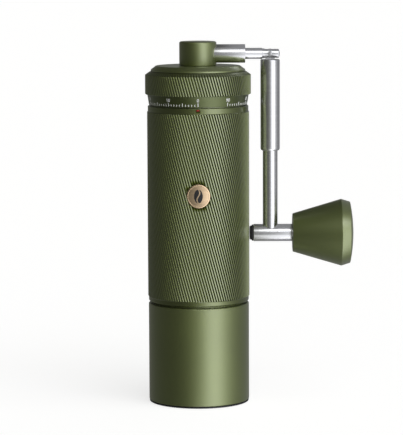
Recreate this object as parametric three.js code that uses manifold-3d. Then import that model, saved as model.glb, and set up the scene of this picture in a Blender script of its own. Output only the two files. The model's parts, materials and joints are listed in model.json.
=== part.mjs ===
// Hand crank coffee grinder: a straight aluminium body with a ring burr and a conical burr inside,
// a catch cup below, a numbered grind dial on top, and a folding crank whose arm hangs beside the body.
// Millimetres. +Z is up, the grinder's axis is the Z axis, and the cup's pad stands on Z = 0.
// The folded arm hangs on the +X side, and the badge and the dial's index mark face -Y.
import * as THREE from "three";
import { mergeVertices } from "three/addons/utils/BufferGeometryUtils.js";
import Module from "manifold-3d";

const wasm = await Module();
wasm.setup();

// ---------- driving dimensions ----------

const BODY_R = 27.5; // knurled body
const BAND_R = 27.1; // smooth bands above and below the knurl
const BODY_BORE_R = 25.2;
const BODY_EDGE_R = 26.6; // flat rims of the body, inside their chamfers
const CUP_R = 27.2;
const DIAL_R = 28.5; // knurled grip of the dial
const HUB_R = 10;
const SHAFT_R = 3.95;
const FIT_GAP = 0.15; // radial gap between turned pieces that fit in each other

const CUP_FOOT_Z = 0.85;
const CUP_TOP_Z = 53.9;
const BODY_BOTTOM_Z = 54.9;
const KNURL_BOTTOM_Z = 57.8;
const KNURL_TOP_Z = 157.5;
const BODY_TOP_Z = 160.9;
const DIAL_BOTTOM_Z = 161.4;
const GRIP_BOTTOM_Z = 167;
const GRIP_TOP_Z = 177.4;
const DIAL_TOP_Z = 179.2;
const LID_TOP_Z = 182.2;
const HUB_TOP_Z = 195.2;

const ARM_AXIS_Z = 188.6; // centre line of the crank's neck
const PIVOT_X = 38.8; // hinge of the folding arm
const KNOB_AXIS_Z = 91.6; // centre line of the knob while the arm hangs
const BADGE_Z = 114.3;

const LOWER_BEARING_Z = 70.6; // underside of each bearing
const UPPER_BEARING_Z = 150.6;
const BEARING_H = 5;
const BEARING_R = 7.95;

const FINE = 30; // sides of the large turned pieces
const MEDIUM = 16; // sides of the inner turned pieces
const COARSE = 10; // sides of pins, screws and rods

// ---------- materials ----------

const finish = (color, roughness, metalness) =>
  new THREE.MeshStandardMaterial({ color, roughness, metalness });

const GREEN = finish(0x4b5733, 0.45, 0.85); // olive anodised aluminium
const ALUMINIUM = finish(0xb9bcbe, 0.4, 0.9);
const STEEL = finish(0xc9c9c7, 0.25, 1);
const BURR_STEEL = finish(0x8f9092, 0.35, 1);
const SPRING_STEEL = finish(0x9b9b98, 0.3, 1);
const BRASS = finish(0xc9a772, 0.3, 1);
const RUBBER = finish(0x151617, 0.8, 0);
const SILICONE = finish(0x2a2c2a, 0.7, 0);
const POLYMER = finish(0xe8e6df, 0.5, 0);
const MAGNET = finish(0xa9abb0, 0.2, 1);
const RED = finish(0xb3382a, 0.5, 0);

// ---------- helpers ----------

// A closed geometry as a solid that can be cut and joined.
function solid(geometry) {
  const bare = geometry.clone();
  bare.deleteAttribute("normal");
  bare.deleteAttribute("uv");
  const merged = mergeVertices(bare, 1e-4);
  return new wasm.Manifold(
    new wasm.Mesh({
      numProp: 3,
      vertProperties: merged.attributes.position.array,
      triVerts: new Uint32Array(merged.index.array),
    }),
  );
}

// A solid as a geometry again.
function geometryOf(made) {
  const mesh = made.getMesh();
  return new THREE.BufferGeometry()
    .setAttribute("position", new THREE.BufferAttribute(mesh.vertProperties, 3))
    .setIndex(new THREE.BufferAttribute(mesh.triVerts, 1));
}

function cut(geometry, ...tools) {
  return geometryOf(tools.reduce((left, tool) => left.subtract(solid(tool)), solid(geometry)));
}

function join(geometry, ...others) {
  return geometryOf(others.reduce((sum, other) => sum.add(solid(other)), solid(geometry)));
}

function common(geometry, other) {
  return geometryOf(solid(geometry).intersect(solid(other)));
}

// A turned piece about Z from [radius, z] points: up the outside and back over the top.
function turned(points, sides = MEDIUM) {
  const profile = points.map(([radius, z]) => new THREE.Vector2(radius, z));
  return new THREE.LatheGeometry(profile, sides).rotateX(Math.PI / 2);
}

// A ring about Z with square edges.
function ring(inner, outer, bottom, top, sides = MEDIUM) {
  return turned([[inner, bottom], [outer, bottom], [outer, top], [inner, top], [inner, bottom]], sides);
}

// A round bar about Z with an optional chamfer at both ends.
function bar(radius, bottom, top, sides = COARSE, chamfer = 0) {
  if (!chamfer) return turned([[0, bottom], [radius, bottom], [radius, top], [0, top]], sides);
  const small = radius - chamfer;
  return turned(
    [[0, bottom], [small, bottom], [radius, bottom + chamfer],
      [radius, top - chamfer], [small, top], [0, top]],
    sides,
  );
}

// The same bar turned to lie along Y or X, at a point.
const barAlongY = (radius, from, to, x, z, sides = COARSE) =>
  bar(radius, from, to, sides).rotateX(-Math.PI / 2).translate(x, 0, z);
const barAlongX = (radius, from, to, y, z, sides = COARSE) =>
  bar(radius, from, to, sides).rotateY(Math.PI / 2).translate(0, y, z);

function box(x0, x1, y0, y1, z0, z1) {
  return new THREE.BoxGeometry(x1 - x0, y1 - y0, z1 - z0)
    .translate((x0 + x1) / 2, (y0 + y1) / 2, (z0 + z1) / 2);
}

const turnZ = (geometry, degrees) => geometry.rotateZ(THREE.MathUtils.degToRad(degrees));

// A hexagonal bar about Z, from its size across the flats.
function hexBar(acrossFlats, bottom, top) {
  return new THREE.CylinderGeometry(acrossFlats / Math.sqrt(3), acrossFlats / Math.sqrt(3), top - bottom, 6)
    .rotateX(Math.PI / 2)
    .translate(0, 0, (bottom + top) / 2);
}

// A coil spring about Z, as round wire swept along a helix.
class Helix extends THREE.Curve {
  constructor(radius, bottom, top, turns) {
    super();
    Object.assign(this, { radius, bottom, top, turns });
  }
  getPoint(t, target = new THREE.Vector3()) {
    const angle = 2 * Math.PI * this.turns * t;
    return target.set(
      this.radius * Math.cos(angle),
      this.radius * Math.sin(angle),
      this.bottom + (this.top - this.bottom) * t,
    );
  }
}

function spring(radius, wire, bottom, top, turns, stepsPerTurn = 8, wireSides = 4) {
  const section = new THREE.Shape();
  section.setFromPoints(
    Array.from({ length: wireSides }, (_, i) => {
      const angle = (2 * Math.PI * i) / wireSides;
      return new THREE.Vector2(wire * Math.cos(angle), wire * Math.sin(angle));
    }),
  );
  const path = new Helix(radius, bottom + wire, top - wire, turns);
  return new THREE.ExtrudeGeometry(section, { steps: Math.round(turns * stepsPerTurn), extrudePath: path });
}

const grinder = new THREE.Group();

function assembly(parent = grinder) {
  const group = new THREE.Group();
  parent.add(group);
  return group;
}

function piece(group, name, geometry, material) {
  const mesh = new THREE.Mesh(geometry, material);
  mesh.name = name;
  group.add(mesh);
  return mesh;
}

// ---------- body: shell, badge and index mark ----------

const BADGE_R = 6.2;
const BADGE_BACK_R = 26.6;
const POCKET_GAP = 0.3;

// A slice of the body's wall between two radii, inside a bar that points along Y at the front.
function wallSlice(innerR, outerR, barRadius, z, sides) {
  const wall = ring(innerR, outerR, z - 2 * barRadius, z + 2 * barRadius, 2 * FINE);
  return common(wall, barAlongY(barRadius, -2 * BODY_R, 0, 0, z, sides));
}

// A small upright triangle on the front of the body's top band, its point up.
function indexTriangle(innerR, outerR, halfWidth, bottom, top) {
  const face = new THREE.Shape();
  face.setFromPoints([
    new THREE.Vector2(-halfWidth, bottom),
    new THREE.Vector2(halfWidth, bottom),
    new THREE.Vector2(0, top),
  ]);
  const prism = new THREE.ExtrudeGeometry(face, { depth: 2 * BODY_R, bevelEnabled: false });
  return common(ring(innerR, outerR, bottom - 1, top + 1, 2 * FINE), prism.rotateX(Math.PI / 2));
}

const INDEX_HALF_WIDTH = 1;
const INDEX_BOTTOM_Z = 159.5;
const INDEX_TOP_Z = 160.4;
const INDEX_BACK_R = 26.5;

function outerShell() {
  const tube = turned(
    [
      [BODY_BORE_R, BODY_BOTTOM_Z], [BODY_EDGE_R, BODY_BOTTOM_Z], [BAND_R, BODY_BOTTOM_Z + 0.6],
      [BAND_R, KNURL_BOTTOM_Z - 0.4], [BODY_R, KNURL_BOTTOM_Z], [BODY_R, KNURL_TOP_Z],
      [BAND_R, KNURL_TOP_Z + 0.4], [BAND_R, BODY_TOP_Z - 0.3], [BODY_EDGE_R, BODY_TOP_Z],
      [BODY_BORE_R, BODY_TOP_Z], [BODY_BORE_R, BODY_BOTTOM_Z],
    ],
    FINE,
  );
  const badgePocket = wallSlice(
    BADGE_BACK_R - POCKET_GAP, BODY_R + 1, BADGE_R + POCKET_GAP, BADGE_Z, MEDIUM,
  );
  const indexPocket = indexTriangle(
    INDEX_BACK_R - POCKET_GAP, BODY_R + 1, INDEX_HALF_WIDTH + POCKET_GAP,
    INDEX_BOTTOM_Z - POCKET_GAP / 2, INDEX_TOP_Z + POCKET_GAP,
  );
  return cut(tube, badgePocket, indexPocket);
}

// ---------- body: burr carrier with the ring burr ----------

const CARRIER_BOTTOM_Z = 48;
const CARRIER_TOP_Z = 75.5;
const CARRIER_R = 25;
const SPIGOT_R = 24.6;
const FUNNEL_TOP_R = 24.4;
const THROAT_R = 19.8;
const THROAT_Z = 69.5; // top of the straight throat under the funnel
const RING_BURR_R = 21.1;
const BURR_BOTTOM_Z = 50.4;
const BURR_TOP_Z = 66.2;
const SEAT_R = BEARING_R + 0.17; // bore of a bearing seat
const SEAT_OUTER_R = 10.6;
const SEAT_LIP_R = 6.8;
const SPOKE_W = 4.5;
const MAGNET_R = 1.3;
const MAGNET_CIRCLE_R = 23.1;
const MAGNET_ANGLES = [45, 135, 225, 315];

// The cup that holds a ball bearing: a bore with a lip under it.
function bearingSeat(bearingZ, topExtra) {
  const lipBottom = bearingZ - 1.3;
  return turned([
    [SEAT_LIP_R, lipBottom], [SEAT_OUTER_R, lipBottom], [SEAT_OUTER_R, bearingZ + BEARING_H + topExtra],
    [SEAT_R, bearingZ + BEARING_H + topExtra], [SEAT_R, bearingZ - 0.1], [SEAT_LIP_R, bearingZ - 0.1],
    [SEAT_LIP_R, lipBottom],
  ]);
}

// Three straight spokes from a bearing seat out to a wall.
function spokes(innerR, outerR, bottom, top, firstAngle) {
  return [0, 120, 240].map((step) =>
    turnZ(box(innerR, outerR, -SPOKE_W / 2, SPOKE_W / 2, bottom, top), firstAngle + step),
  );
}

function magnetAt(angle, radius, bottom, top) {
  return turnZ(bar(radius, bottom, top, COARSE).translate(MAGNET_CIRCLE_R, 0, 0), angle);
}

function burrCarrier() {
  const wall = turned(
    [
      [RING_BURR_R + 0.2, CARRIER_BOTTOM_Z], [SPIGOT_R - 0.6, CARRIER_BOTTOM_Z],
      [SPIGOT_R, CARRIER_BOTTOM_Z + 0.6], [SPIGOT_R, BODY_BOTTOM_Z], [CARRIER_R, BODY_BOTTOM_Z + 0.3],
      [CARRIER_R, CARRIER_TOP_Z], [FUNNEL_TOP_R, CARRIER_TOP_Z], [THROAT_R, THROAT_Z],
      [THROAT_R, BURR_TOP_Z + 0.2],
      [RING_BURR_R + 0.2, BURR_TOP_Z + 0.2], [RING_BURR_R + 0.2, CARRIER_BOTTOM_Z],
    ],
    FINE,
  );
  const seat = bearingSeat(LOWER_BEARING_Z, 1.4);
  const frame = join(wall, seat, ...spokes(SEAT_OUTER_R - 0.8, CARRIER_R - 2, 70, 74.5, 30));
  const pockets = MAGNET_ANGLES.map((angle) => magnetAt(angle, MAGNET_R + 0.2, CARRIER_BOTTOM_Z - 1, 52.3));
  return cut(frame, ...pockets);
}

// A turned piece whose radius is waved into twisted teeth. Depth is a function of z, and the teeth
// cut inwards from the profile (sign -1) or outwards from it (sign 1) on the working face only.
function toothed(points, sides, teeth, twistPerMm, depthAt, sign, isWorkingFace) {
  const geometry = turned(points, sides);
  const position = geometry.attributes.position;
  for (let i = 0; i < position.count; i++) {
    const [x, y, z] = [position.getX(i), position.getY(i), position.getZ(i)];
    const radius = Math.hypot(x, y);
    if (!isWorkingFace(radius, z)) continue;
    const phase = (teeth * (Math.atan2(y, x) + twistPerMm * z)) / (2 * Math.PI);
    const ramp = phase - Math.floor(phase);
    const scale = (radius + sign * depthAt(z) * Math.abs(2 * ramp - 1)) / radius;
    position.setXY(i, x * scale, y * scale);
  }
  return geometry;
}

const TEETH = 10;
const BURR_TWIST = 0.035; // radians per mm of height

// Teeth are shallow at the burrs' mouth and deepen towards the feed end.
const toothDepth = (z) => 0.35 + 1.8 * Math.max(0, (z - 55) / 11);

// A burr's working flank, from its wide mouth up to its feed end, bowed outwards in the middle.
function flank(mouthR, feedR, bottom, top, bow) {
  return [0, 0.25, 0.5, 0.75, 1].map((t) => [
    mouthR + (feedR - mouthR) * t + 4 * bow * t * (1 - t),
    bottom + (top - bottom) * t,
  ]);
}

const RING_MOUTH_R = 17.9;
const RING_FEED_R = 13.4;
const CONE_MOUTH_R = 17.4;
const CONE_FEED_R = 9.4;
const CONE_BORE_R = 4.2;
const CONE_BOTTOM_Z = 50.7;
const CONE_TOP_Z = 68.1;

function ringBurr() {
  const inside = flank(RING_MOUTH_R, RING_FEED_R, BURR_BOTTOM_Z, BURR_TOP_Z, 0.2).reverse();
  return toothed(
    [[RING_MOUTH_R, BURR_BOTTOM_Z], [RING_BURR_R, BURR_BOTTOM_Z], [RING_BURR_R, BURR_TOP_Z], ...inside],
    TEETH * 4, TEETH, -BURR_TWIST, toothDepth, 1,
    (radius) => radius < RING_MOUTH_R + 0.1,
  );
}

function coneBurr() {
  const outside = flank(CONE_MOUTH_R, CONE_FEED_R, CONE_BOTTOM_Z, CONE_TOP_Z, 0.8);
  return toothed(
    [[CONE_BORE_R, CONE_BOTTOM_Z], ...outside, [CONE_BORE_R, CONE_TOP_Z], [CONE_BORE_R, CONE_BOTTOM_Z]],
    TEETH * 4, TEETH, BURR_TWIST, toothDepth, -1,
    (radius) => radius > CONE_BORE_R + 0.5,
  );
}

// The threaded ring that clamps the ring burr from below, with two spanner notches.
function burrRetainer() {
  const blank = ring(18.9, RING_BURR_R, 48.2, 50.1, FINE);
  const notch = box(-1.2, 1.2, 17, RING_BURR_R + 1, 47, 49.4);
  return cut(blank, notch, turnZ(notch.clone(), 180));
}

// ---------- ball bearings ----------

const RACE_DIP = 0.4; // depth of the groove that the balls run in
const BALL_R = 1;
const BALL_CIRCLE_R = 6.05;
const BALLS = 6;
const OUTER_RACE_R = 6.9;
const INNER_RACE_R = 5.2;

function outerRace(bottom) {
  const [top, middle] = [bottom + BEARING_H, bottom + BEARING_H / 2];
  return turned([
    [OUTER_RACE_R, bottom], [BEARING_R, bottom], [BEARING_R, top], [OUTER_RACE_R, top],
    [OUTER_RACE_R, middle + 1.1], [OUTER_RACE_R + RACE_DIP, middle], [OUTER_RACE_R, middle - 1.1],
    [OUTER_RACE_R, bottom],
  ]);
}

function innerRace(bottom) {
  const [top, middle, bore] = [bottom + BEARING_H, bottom + BEARING_H / 2, SHAFT_R + FIT_GAP];
  return turned([
    [bore, bottom], [INNER_RACE_R, bottom], [INNER_RACE_R, middle - 1.1], [INNER_RACE_R - RACE_DIP, middle],
    [INNER_RACE_R, middle + 1.1], [INNER_RACE_R, top], [bore, top], [bore, bottom],
  ]);
}

function ballCage(bottom) {
  const middle = bottom + BEARING_H / 2;
  const cage = ring(BALL_CIRCLE_R - 0.3, BALL_CIRCLE_R + 0.3, middle - 0.8, middle + 0.8, COARSE);
  const balls = Array.from({ length: BALLS }, (_, i) =>
    turnZ(new THREE.SphereGeometry(BALL_R, 6, 3).translate(BALL_CIRCLE_R, 0, middle), (360 * i) / BALLS),
  );
  return join(cage, ...balls);
}

// ---------- body: guide sleeve, detents, keys and snap ring ----------

const GUIDE_BORE_R = 20.9;
const GUIDE_TOP_Z = 169.2;
const GUIDE_GROOVE_R = 24.3; // floor of the snap ring's groove
const GROOVE_BOTTOM_Z = 162.9;
const GROOVE_TOP_Z = 164.5;
const GUIDE_BOTTOM_Z = 146;
const DETENT_CIRCLE_R = 22.9;
const DETENT_BALL_R = 1.2;
const DETENT_BALL_Z = 168.35;
const KEY_Z = 152.5;
const KEY_R = 1;

function guideSleeve() {
  const sleeve = turned(
    [
      [GUIDE_BORE_R, GUIDE_BOTTOM_Z], [CARRIER_R, GUIDE_BOTTOM_Z], [CARRIER_R, GROOVE_BOTTOM_Z],
      [GUIDE_GROOVE_R, GROOVE_BOTTOM_Z], [GUIDE_GROOVE_R, GROOVE_TOP_Z], [CARRIER_R, GROOVE_TOP_Z],
      [CARRIER_R, GUIDE_TOP_Z - 0.5], [CARRIER_R - 0.5, GUIDE_TOP_Z],
      [GUIDE_BORE_R, GUIDE_TOP_Z], [GUIDE_BORE_R, GUIDE_BOTTOM_Z],
    ],
    FINE,
  );
  const detentWell = bar(1.45, 160.8, GUIDE_TOP_Z + 1, COARSE).translate(DETENT_CIRCLE_R, 0, 0);
  const keyHole = barAlongY(KEY_R + 0.2, -CARRIER_R - 1, CARRIER_R + 1, 0, KEY_Z);
  return cut(sleeve, detentWell, turnZ(detentWell.clone(), 180), keyHole);
}

function detentBall() {
  return new THREE.SphereGeometry(DETENT_BALL_R, 8, 6).translate(DETENT_CIRCLE_R, 0, DETENT_BALL_Z);
}
const detentSpring = () => spring(0.85, 0.2, 161, 167, 4, 6, 4).translate(DETENT_CIRCLE_R, 0, 0);
const keyPin = () => barAlongY(KEY_R, 19.4, 24.8, 0, KEY_Z);

// A wire ring, open at the back, that holds the dial on the guide sleeve.
function snapRing(inner, outer, bottom, top, opening) {
  const gap = box(-opening / 2, opening / 2, 0, outer + 1, bottom - 1, top + 1);
  return cut(ring(inner, outer, bottom, top, FINE), gap);
}

// ---------- dial ----------

const THREAD_BORE_R = 20.35;
const FLANGE_BOTTOM_Z = 169.7;
const FLANGE_TOP_Z = 173.6;
const DIAL_BORE_R = CARRIER_R + 0.25;
const LID_BORE_R = 25.1;
const SKIRT_BOTTOM_R = 26.4; // the numbered skirt widens upwards
const SKIRT_TOP_R = 27.35;
const DIAL_RIM_R = 25.9;
const DIAL_GROOVE_R = 25.95; // floor of the snap ring's groove

function dialRing() {
  return turned(
    [
      [DIAL_BORE_R, DIAL_BOTTOM_Z], [SKIRT_BOTTOM_R, DIAL_BOTTOM_Z], [SKIRT_TOP_R, GRIP_BOTTOM_Z],
      [DIAL_R - 0.3, GRIP_BOTTOM_Z], [DIAL_R, GRIP_BOTTOM_Z + 0.3], [DIAL_R, GRIP_TOP_Z],
      [DIAL_RIM_R, DIAL_TOP_Z], [LID_BORE_R, DIAL_TOP_Z], [LID_BORE_R, FLANGE_TOP_Z],
      [THREAD_BORE_R, FLANGE_TOP_Z], [THREAD_BORE_R, FLANGE_BOTTOM_Z], [DIAL_BORE_R, FLANGE_BOTTOM_Z],
      [DIAL_BORE_R, GROOVE_TOP_Z + 0.1], [DIAL_GROOVE_R, GROOVE_TOP_Z + 0.1],
      [DIAL_GROOVE_R, GROOVE_BOTTOM_Z - 0.1], [DIAL_BORE_R, GROOVE_BOTTOM_Z - 0.1],
      [DIAL_BORE_R, DIAL_BOTTOM_Z],
    ],
    FINE,
  );
}

// ---------- bearing carriage ----------

const CARRIAGE_R = 20.6;
const CARRIAGE_BORE_R = 18.4;
const CARRIAGE_BOTTOM_Z = 149;
const CROWN_R = 20.05; // male thread that the dial turns on
const CROWN_TOP_Z = 175.4;

function bearingCarriage() {
  const wall = turned(
    [
      [CARRIAGE_BORE_R, CARRIAGE_BOTTOM_Z], [CARRIAGE_R, CARRIAGE_BOTTOM_Z], [CARRIAGE_R, 168.2],
      [CROWN_R, 168.8], [CROWN_R, CROWN_TOP_Z - 0.4], [CROWN_R - 0.4, CROWN_TOP_Z],
      [CARRIAGE_BORE_R + 0.4, CROWN_TOP_Z], [CARRIAGE_BORE_R, CROWN_TOP_Z - 0.4],
      [CARRIAGE_BORE_R, CARRIAGE_BOTTOM_Z],
    ],
    FINE,
  );
  const seat = bearingSeat(UPPER_BEARING_Z, 2);
  const frame = join(wall, seat, ...spokes(SEAT_OUTER_R - 0.8, CARRIAGE_BORE_R + 1, 150, 155.5, 90));
  const keyway = box(-1.3, 1.3, 19.2, CARRIAGE_R + 1, CARRIAGE_BOTTOM_Z - 1, 156.5);
  return cut(frame, keyway, turnZ(keyway.clone(), 180));
}

// ---------- shaft ----------

const SHAFT_TOP_Z = 185.6;
const HEX_BOTTOM_Z = 172;
const HEX_FLATS = 7;
const CLIP_BORE_R = SHAFT_R + FIT_GAP;
const SPRING_CLIP_Z = 104;
const SHOULDER_R = 5.4; // flange that the cone burr is clamped against
const SCREW_BORE_R = 2.25;
const HEX_NECK_R = 3.2;
const NOSE_R = 3.4;

function driveShaft() {
  const round = turned(
    [
      [0, 61], [SCREW_BORE_R, 61], [SCREW_BORE_R, 51], [SHAFT_R, 51], [SHAFT_R, CONE_TOP_Z + 0.2],
      [SHOULDER_R, CONE_TOP_Z + 0.2], [SHOULDER_R, CONE_TOP_Z + 1.1], [SHAFT_R, CONE_TOP_Z + 1.1],
      [SHAFT_R, HEX_BOTTOM_Z + 0.5], [HEX_NECK_R, HEX_BOTTOM_Z + 1], [0, HEX_BOTTOM_Z + 1],
    ],
    MEDIUM,
  );
  const hex = hexBar(HEX_FLATS, HEX_BOTTOM_Z, SHAFT_TOP_Z);
  const nose = turned([
    [0, HEX_BOTTOM_Z - 1], [HEX_FLATS, HEX_BOTTOM_Z - 1], [HEX_FLATS, SHAFT_TOP_Z - 1.9],
    [NOSE_R, SHAFT_TOP_Z + 0.1], [0, SHAFT_TOP_Z + 0.1],
  ]);
  return join(round, common(hex, nose));
}

// A clip on the shaft: a ring open on one side.
const CLIP_H = 0.8;

function shaftClip(bottom, outer) {
  const gap = box(-2, 2, 0, outer + 1, bottom - 1, bottom + 2);
  return cut(ring(CLIP_BORE_R, outer, bottom, bottom + CLIP_H, 24), gap);
}

const SCREW_HEAD_BOTTOM_Z = 45.9;
const SCREW_HEAD_TOP_Z = 49.4;
const SCREW_HEAD_R = 3.6;
const SCREW_R = 2;

function burrScrew() {
  const blank = turned([
    [0, SCREW_HEAD_BOTTOM_Z], [SCREW_HEAD_R - 0.3, SCREW_HEAD_BOTTOM_Z],
    [SCREW_HEAD_R, SCREW_HEAD_BOTTOM_Z + 0.3], [SCREW_HEAD_R, SCREW_HEAD_TOP_Z],
    [SCREW_R, SCREW_HEAD_TOP_Z], [SCREW_R, 60], [0, 60],
  ]);
  return cut(blank, hexBar(3, SCREW_HEAD_BOTTOM_Z - 1, SCREW_HEAD_BOTTOM_Z + 2.1));
}

// ---------- catch cup ----------

const PAD_R = 27; // the rubber foot, just inside the cup's edge
const PAD_FLANGE_Z = 0.75;
const PAD_PLUG_R = 24.6;
const PAD_TOP_Z = 1.4;
const PAD_SEAT_Z = 1.5;
const CUP_BORE_R = 24.95;
const CUP_WALL_R = 23.6;
const CUP_STEP_Z = 45.9;
const CUP_FLOOR_Z = 3;
const CUP_FILLET = 3;

function catchCup() {
  const fillet = Array.from({ length: 5 }, (_, i) => {
    const angle = (Math.PI / 2) * (i / 4);
    return [
      CUP_WALL_R - CUP_FILLET + CUP_FILLET * Math.cos(angle),
      CUP_FLOOR_Z + CUP_FILLET - CUP_FILLET * Math.sin(angle),
    ];
  });
  return turned(
    [
      [0, PAD_SEAT_Z], [PAD_PLUG_R + 0.3, PAD_SEAT_Z], [PAD_PLUG_R + 0.3, CUP_FOOT_Z],
      [CUP_R - 0.4, CUP_FOOT_Z], [CUP_R, CUP_FOOT_Z + 0.4], [CUP_R, CUP_TOP_Z - 0.4],
      [CUP_R - 0.4, CUP_TOP_Z], [CUP_BORE_R, CUP_TOP_Z], [CUP_BORE_R, CUP_STEP_Z],
      [CUP_WALL_R, CUP_STEP_Z], ...fillet, [0, CUP_FLOOR_Z],
    ],
    FINE,
  );
}

function basePad() {
  return turned(
    [
      [0, 0], [PAD_R - 0.3, 0], [PAD_R, 0.3], [PAD_R, PAD_FLANGE_Z], [PAD_PLUG_R, PAD_FLANGE_Z],
      [PAD_PLUG_R, PAD_TOP_Z], [0, PAD_TOP_Z],
    ],
    FINE,
  );
}

// ---------- lid ----------

const LID_R = 25.4;
const LID_SKIRT_R = 24.6;
const LID_SKIRT_BORE_R = 22.6;
const LID_PLATE_Z = 179.6;
const LID_HOLE_R = 9.2;
const HUB_NECK_R = 8;
const LID_BOTTOM_Z = 174.2;
const GASKET_BORE_R = 23.8;
const GASKET_BOTTOM_Z = 175.7;
const GASKET_TOP_Z = 177.1;

function lidPlate() {
  const [grooveBottom, grooveTop] = [GASKET_BOTTOM_Z - 0.1, GASKET_TOP_Z + 0.1];
  const grooveR = GASKET_BORE_R - 0.1;
  return turned(
    [
      [LID_SKIRT_BORE_R, LID_BOTTOM_Z], [LID_SKIRT_R, LID_BOTTOM_Z], [LID_SKIRT_R, grooveBottom],
      [grooveR, grooveBottom], [grooveR, grooveTop], [LID_SKIRT_R, grooveTop],
      [LID_SKIRT_R, DIAL_TOP_Z + 0.15], [LID_R, DIAL_TOP_Z + 0.15], [LID_R, LID_TOP_Z - 2],
      [LID_R - 2.7, LID_TOP_Z], [LID_HOLE_R, LID_TOP_Z], [LID_HOLE_R, LID_PLATE_Z],
      [LID_SKIRT_BORE_R, LID_PLATE_Z], [LID_SKIRT_BORE_R, LID_BOTTOM_Z],
    ],
    FINE,
  );
}

// ---------- crank: hub and neck ----------

const HUB_BOTTOM_Z = LID_TOP_Z + 0.2;
const HUB_NECK_Z = 176;
const INSERT_R = 5.85;
const HUB_BORE_TOP_Z = 191.8;
const HUB_GROOVE_R = 7.4; // groove of the clip that keeps the hub in the lid
const HUB_GROOVE_BOTTOM_Z = 177.9;
const HUB_GROOVE_TOP_Z = 178.9;
const HUB_BORE_R = 6;
const COLLAR_R = 5;
const COLLAR_END_X = 25.4;
const NECK_R = 3;
const NECK_END_X = 34.6;
const FORK_R = 2.65;
const FORK_REACH = 5.45; // radius of the fork's end about the hinge
const PIN_R = 1.2;

function crankHub() {
  const blank = turned([
    [0, HUB_BORE_TOP_Z], [HUB_BORE_R, HUB_BORE_TOP_Z], [HUB_BORE_R, HUB_NECK_Z],
    [HUB_NECK_R - 0.4, HUB_NECK_Z], [HUB_NECK_R, HUB_NECK_Z + 0.4], [HUB_NECK_R, HUB_GROOVE_BOTTOM_Z],
    [HUB_GROOVE_R, HUB_GROOVE_BOTTOM_Z], [HUB_GROOVE_R, HUB_GROOVE_TOP_Z], [HUB_NECK_R, HUB_GROOVE_TOP_Z],
    [HUB_NECK_R, HUB_BOTTOM_Z], [HUB_R - 0.3, HUB_BOTTOM_Z], [HUB_R, HUB_BOTTOM_Z + 0.3],
    [HUB_R, HUB_TOP_Z - 0.8], [HUB_R - 0.8, HUB_TOP_Z], [0, HUB_TOP_Z],
  ], 20);
  const stud = barAlongX(NECK_R + 0.2, 4, 9, 0, ARM_AXIS_Z);
  const seat = barAlongX(COLLAR_R + FIT_GAP, 7.7, 12, 0, ARM_AXIS_Z, MEDIUM);
  return cut(blank, stud, seat);
}

function driveInsert() {
  const blank = bar(INSERT_R, HUB_NECK_Z + 0.2, 190, MEDIUM);
  return cut(blank, hexBar(HEX_FLATS + 0.5, HUB_NECK_Z - 1, 187));
}

// Steel collar, neck and fork in one turned bar along X, slotted for the arm's tongue. The fork ends in
// part of a ball about the hinge, so that it turns inside the mouth of the locking sleeve.
function crankNeck() {
  const ballX = (radius) => PIVOT_X + Math.sqrt(FORK_REACH ** 2 - radius ** 2);
  const roundEnd = [FORK_R, 1.8, 0.9, 0].map((radius) => [radius, ballX(radius)]);
  const blank = turned([
    [0, 6.2], [NECK_R, 6.2], [NECK_R, 8], [COLLAR_R, 8], [COLLAR_R, COLLAR_END_X - 0.3],
    [COLLAR_R - 0.3, COLLAR_END_X], [NECK_R, COLLAR_END_X], [NECK_R, NECK_END_X - 0.3],
    [FORK_R, NECK_END_X], ...roundEnd,
  ], MEDIUM).rotateY(Math.PI / 2).translate(0, 0, ARM_AXIS_Z);
  const slot = box(PIVOT_X - 3, PIVOT_X + 10, -1.25, 1.25, ARM_AXIS_Z - 10, ARM_AXIS_Z + 10);
  const pinHole = barAlongY(PIN_R + FIT_GAP, -10, 10, PIVOT_X, ARM_AXIS_Z);
  return cut(blank, slot, pinHole);
}

// ---------- arm: drawn hanging from the hinge, which is the group's origin ----------

const ARM_LENGTH = ARM_AXIS_Z - KNOB_AXIS_Z;
const ROD_R = 4;
const CORE_R = 2.65; // thin top of the rod, inside the sleeve's spring
const SHOULDER_Z = -28;
const TONGUE_R = 2.5;
const TONGUE_HALF = 1.05; // half the tongue's thickness
const WAIST_Z = -5.8; // top of the rod's round part, under the tongue
const AXLE_TUBE_R = 4.7;
const AXLE_TUBE_START_X = 29.7;
const AXLE_TUBE_END_X = 50.6;

function armRod() {
  const rod = turned([
    [0, -ARM_LENGTH], [ROD_R, -ARM_LENGTH], [ROD_R, SHOULDER_Z - 0.3], [ROD_R - 0.3, SHOULDER_Z],
    [CORE_R, SHOULDER_Z], [CORE_R, WAIST_Z - 0.4], [CORE_R - 0.4, WAIST_Z], [0, WAIST_Z],
  ], MEDIUM);
  const tongue = join(
    box(-TONGUE_R, TONGUE_R, -TONGUE_HALF, TONGUE_HALF, WAIST_Z - 0.7, 0),
    barAlongY(TONGUE_R, -TONGUE_HALF, TONGUE_HALF, 0, 0, MEDIUM),
  );
  const waist = bar(CORE_R, WAIST_Z - 1.2, 3, MEDIUM);
  const saddle = barAlongX(AXLE_TUBE_R + 0.3, -10, 10, 0, -ARM_LENGTH, MEDIUM);
  const pinHole = barAlongY(PIN_R + FIT_GAP, -5, 5, 0, 0);
  return cut(join(rod, common(tongue, waist)), saddle, pinHole);
}

// The lower tube, the axle, the bumper and the knob lie along X. Here they are drawn along their own Z,
// measured from the hinge.
const along = (x) => x - PIVOT_X;

const TUBE_BORE_R = 3;
const BUMPER_HOLE_R = 3.1;

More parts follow.
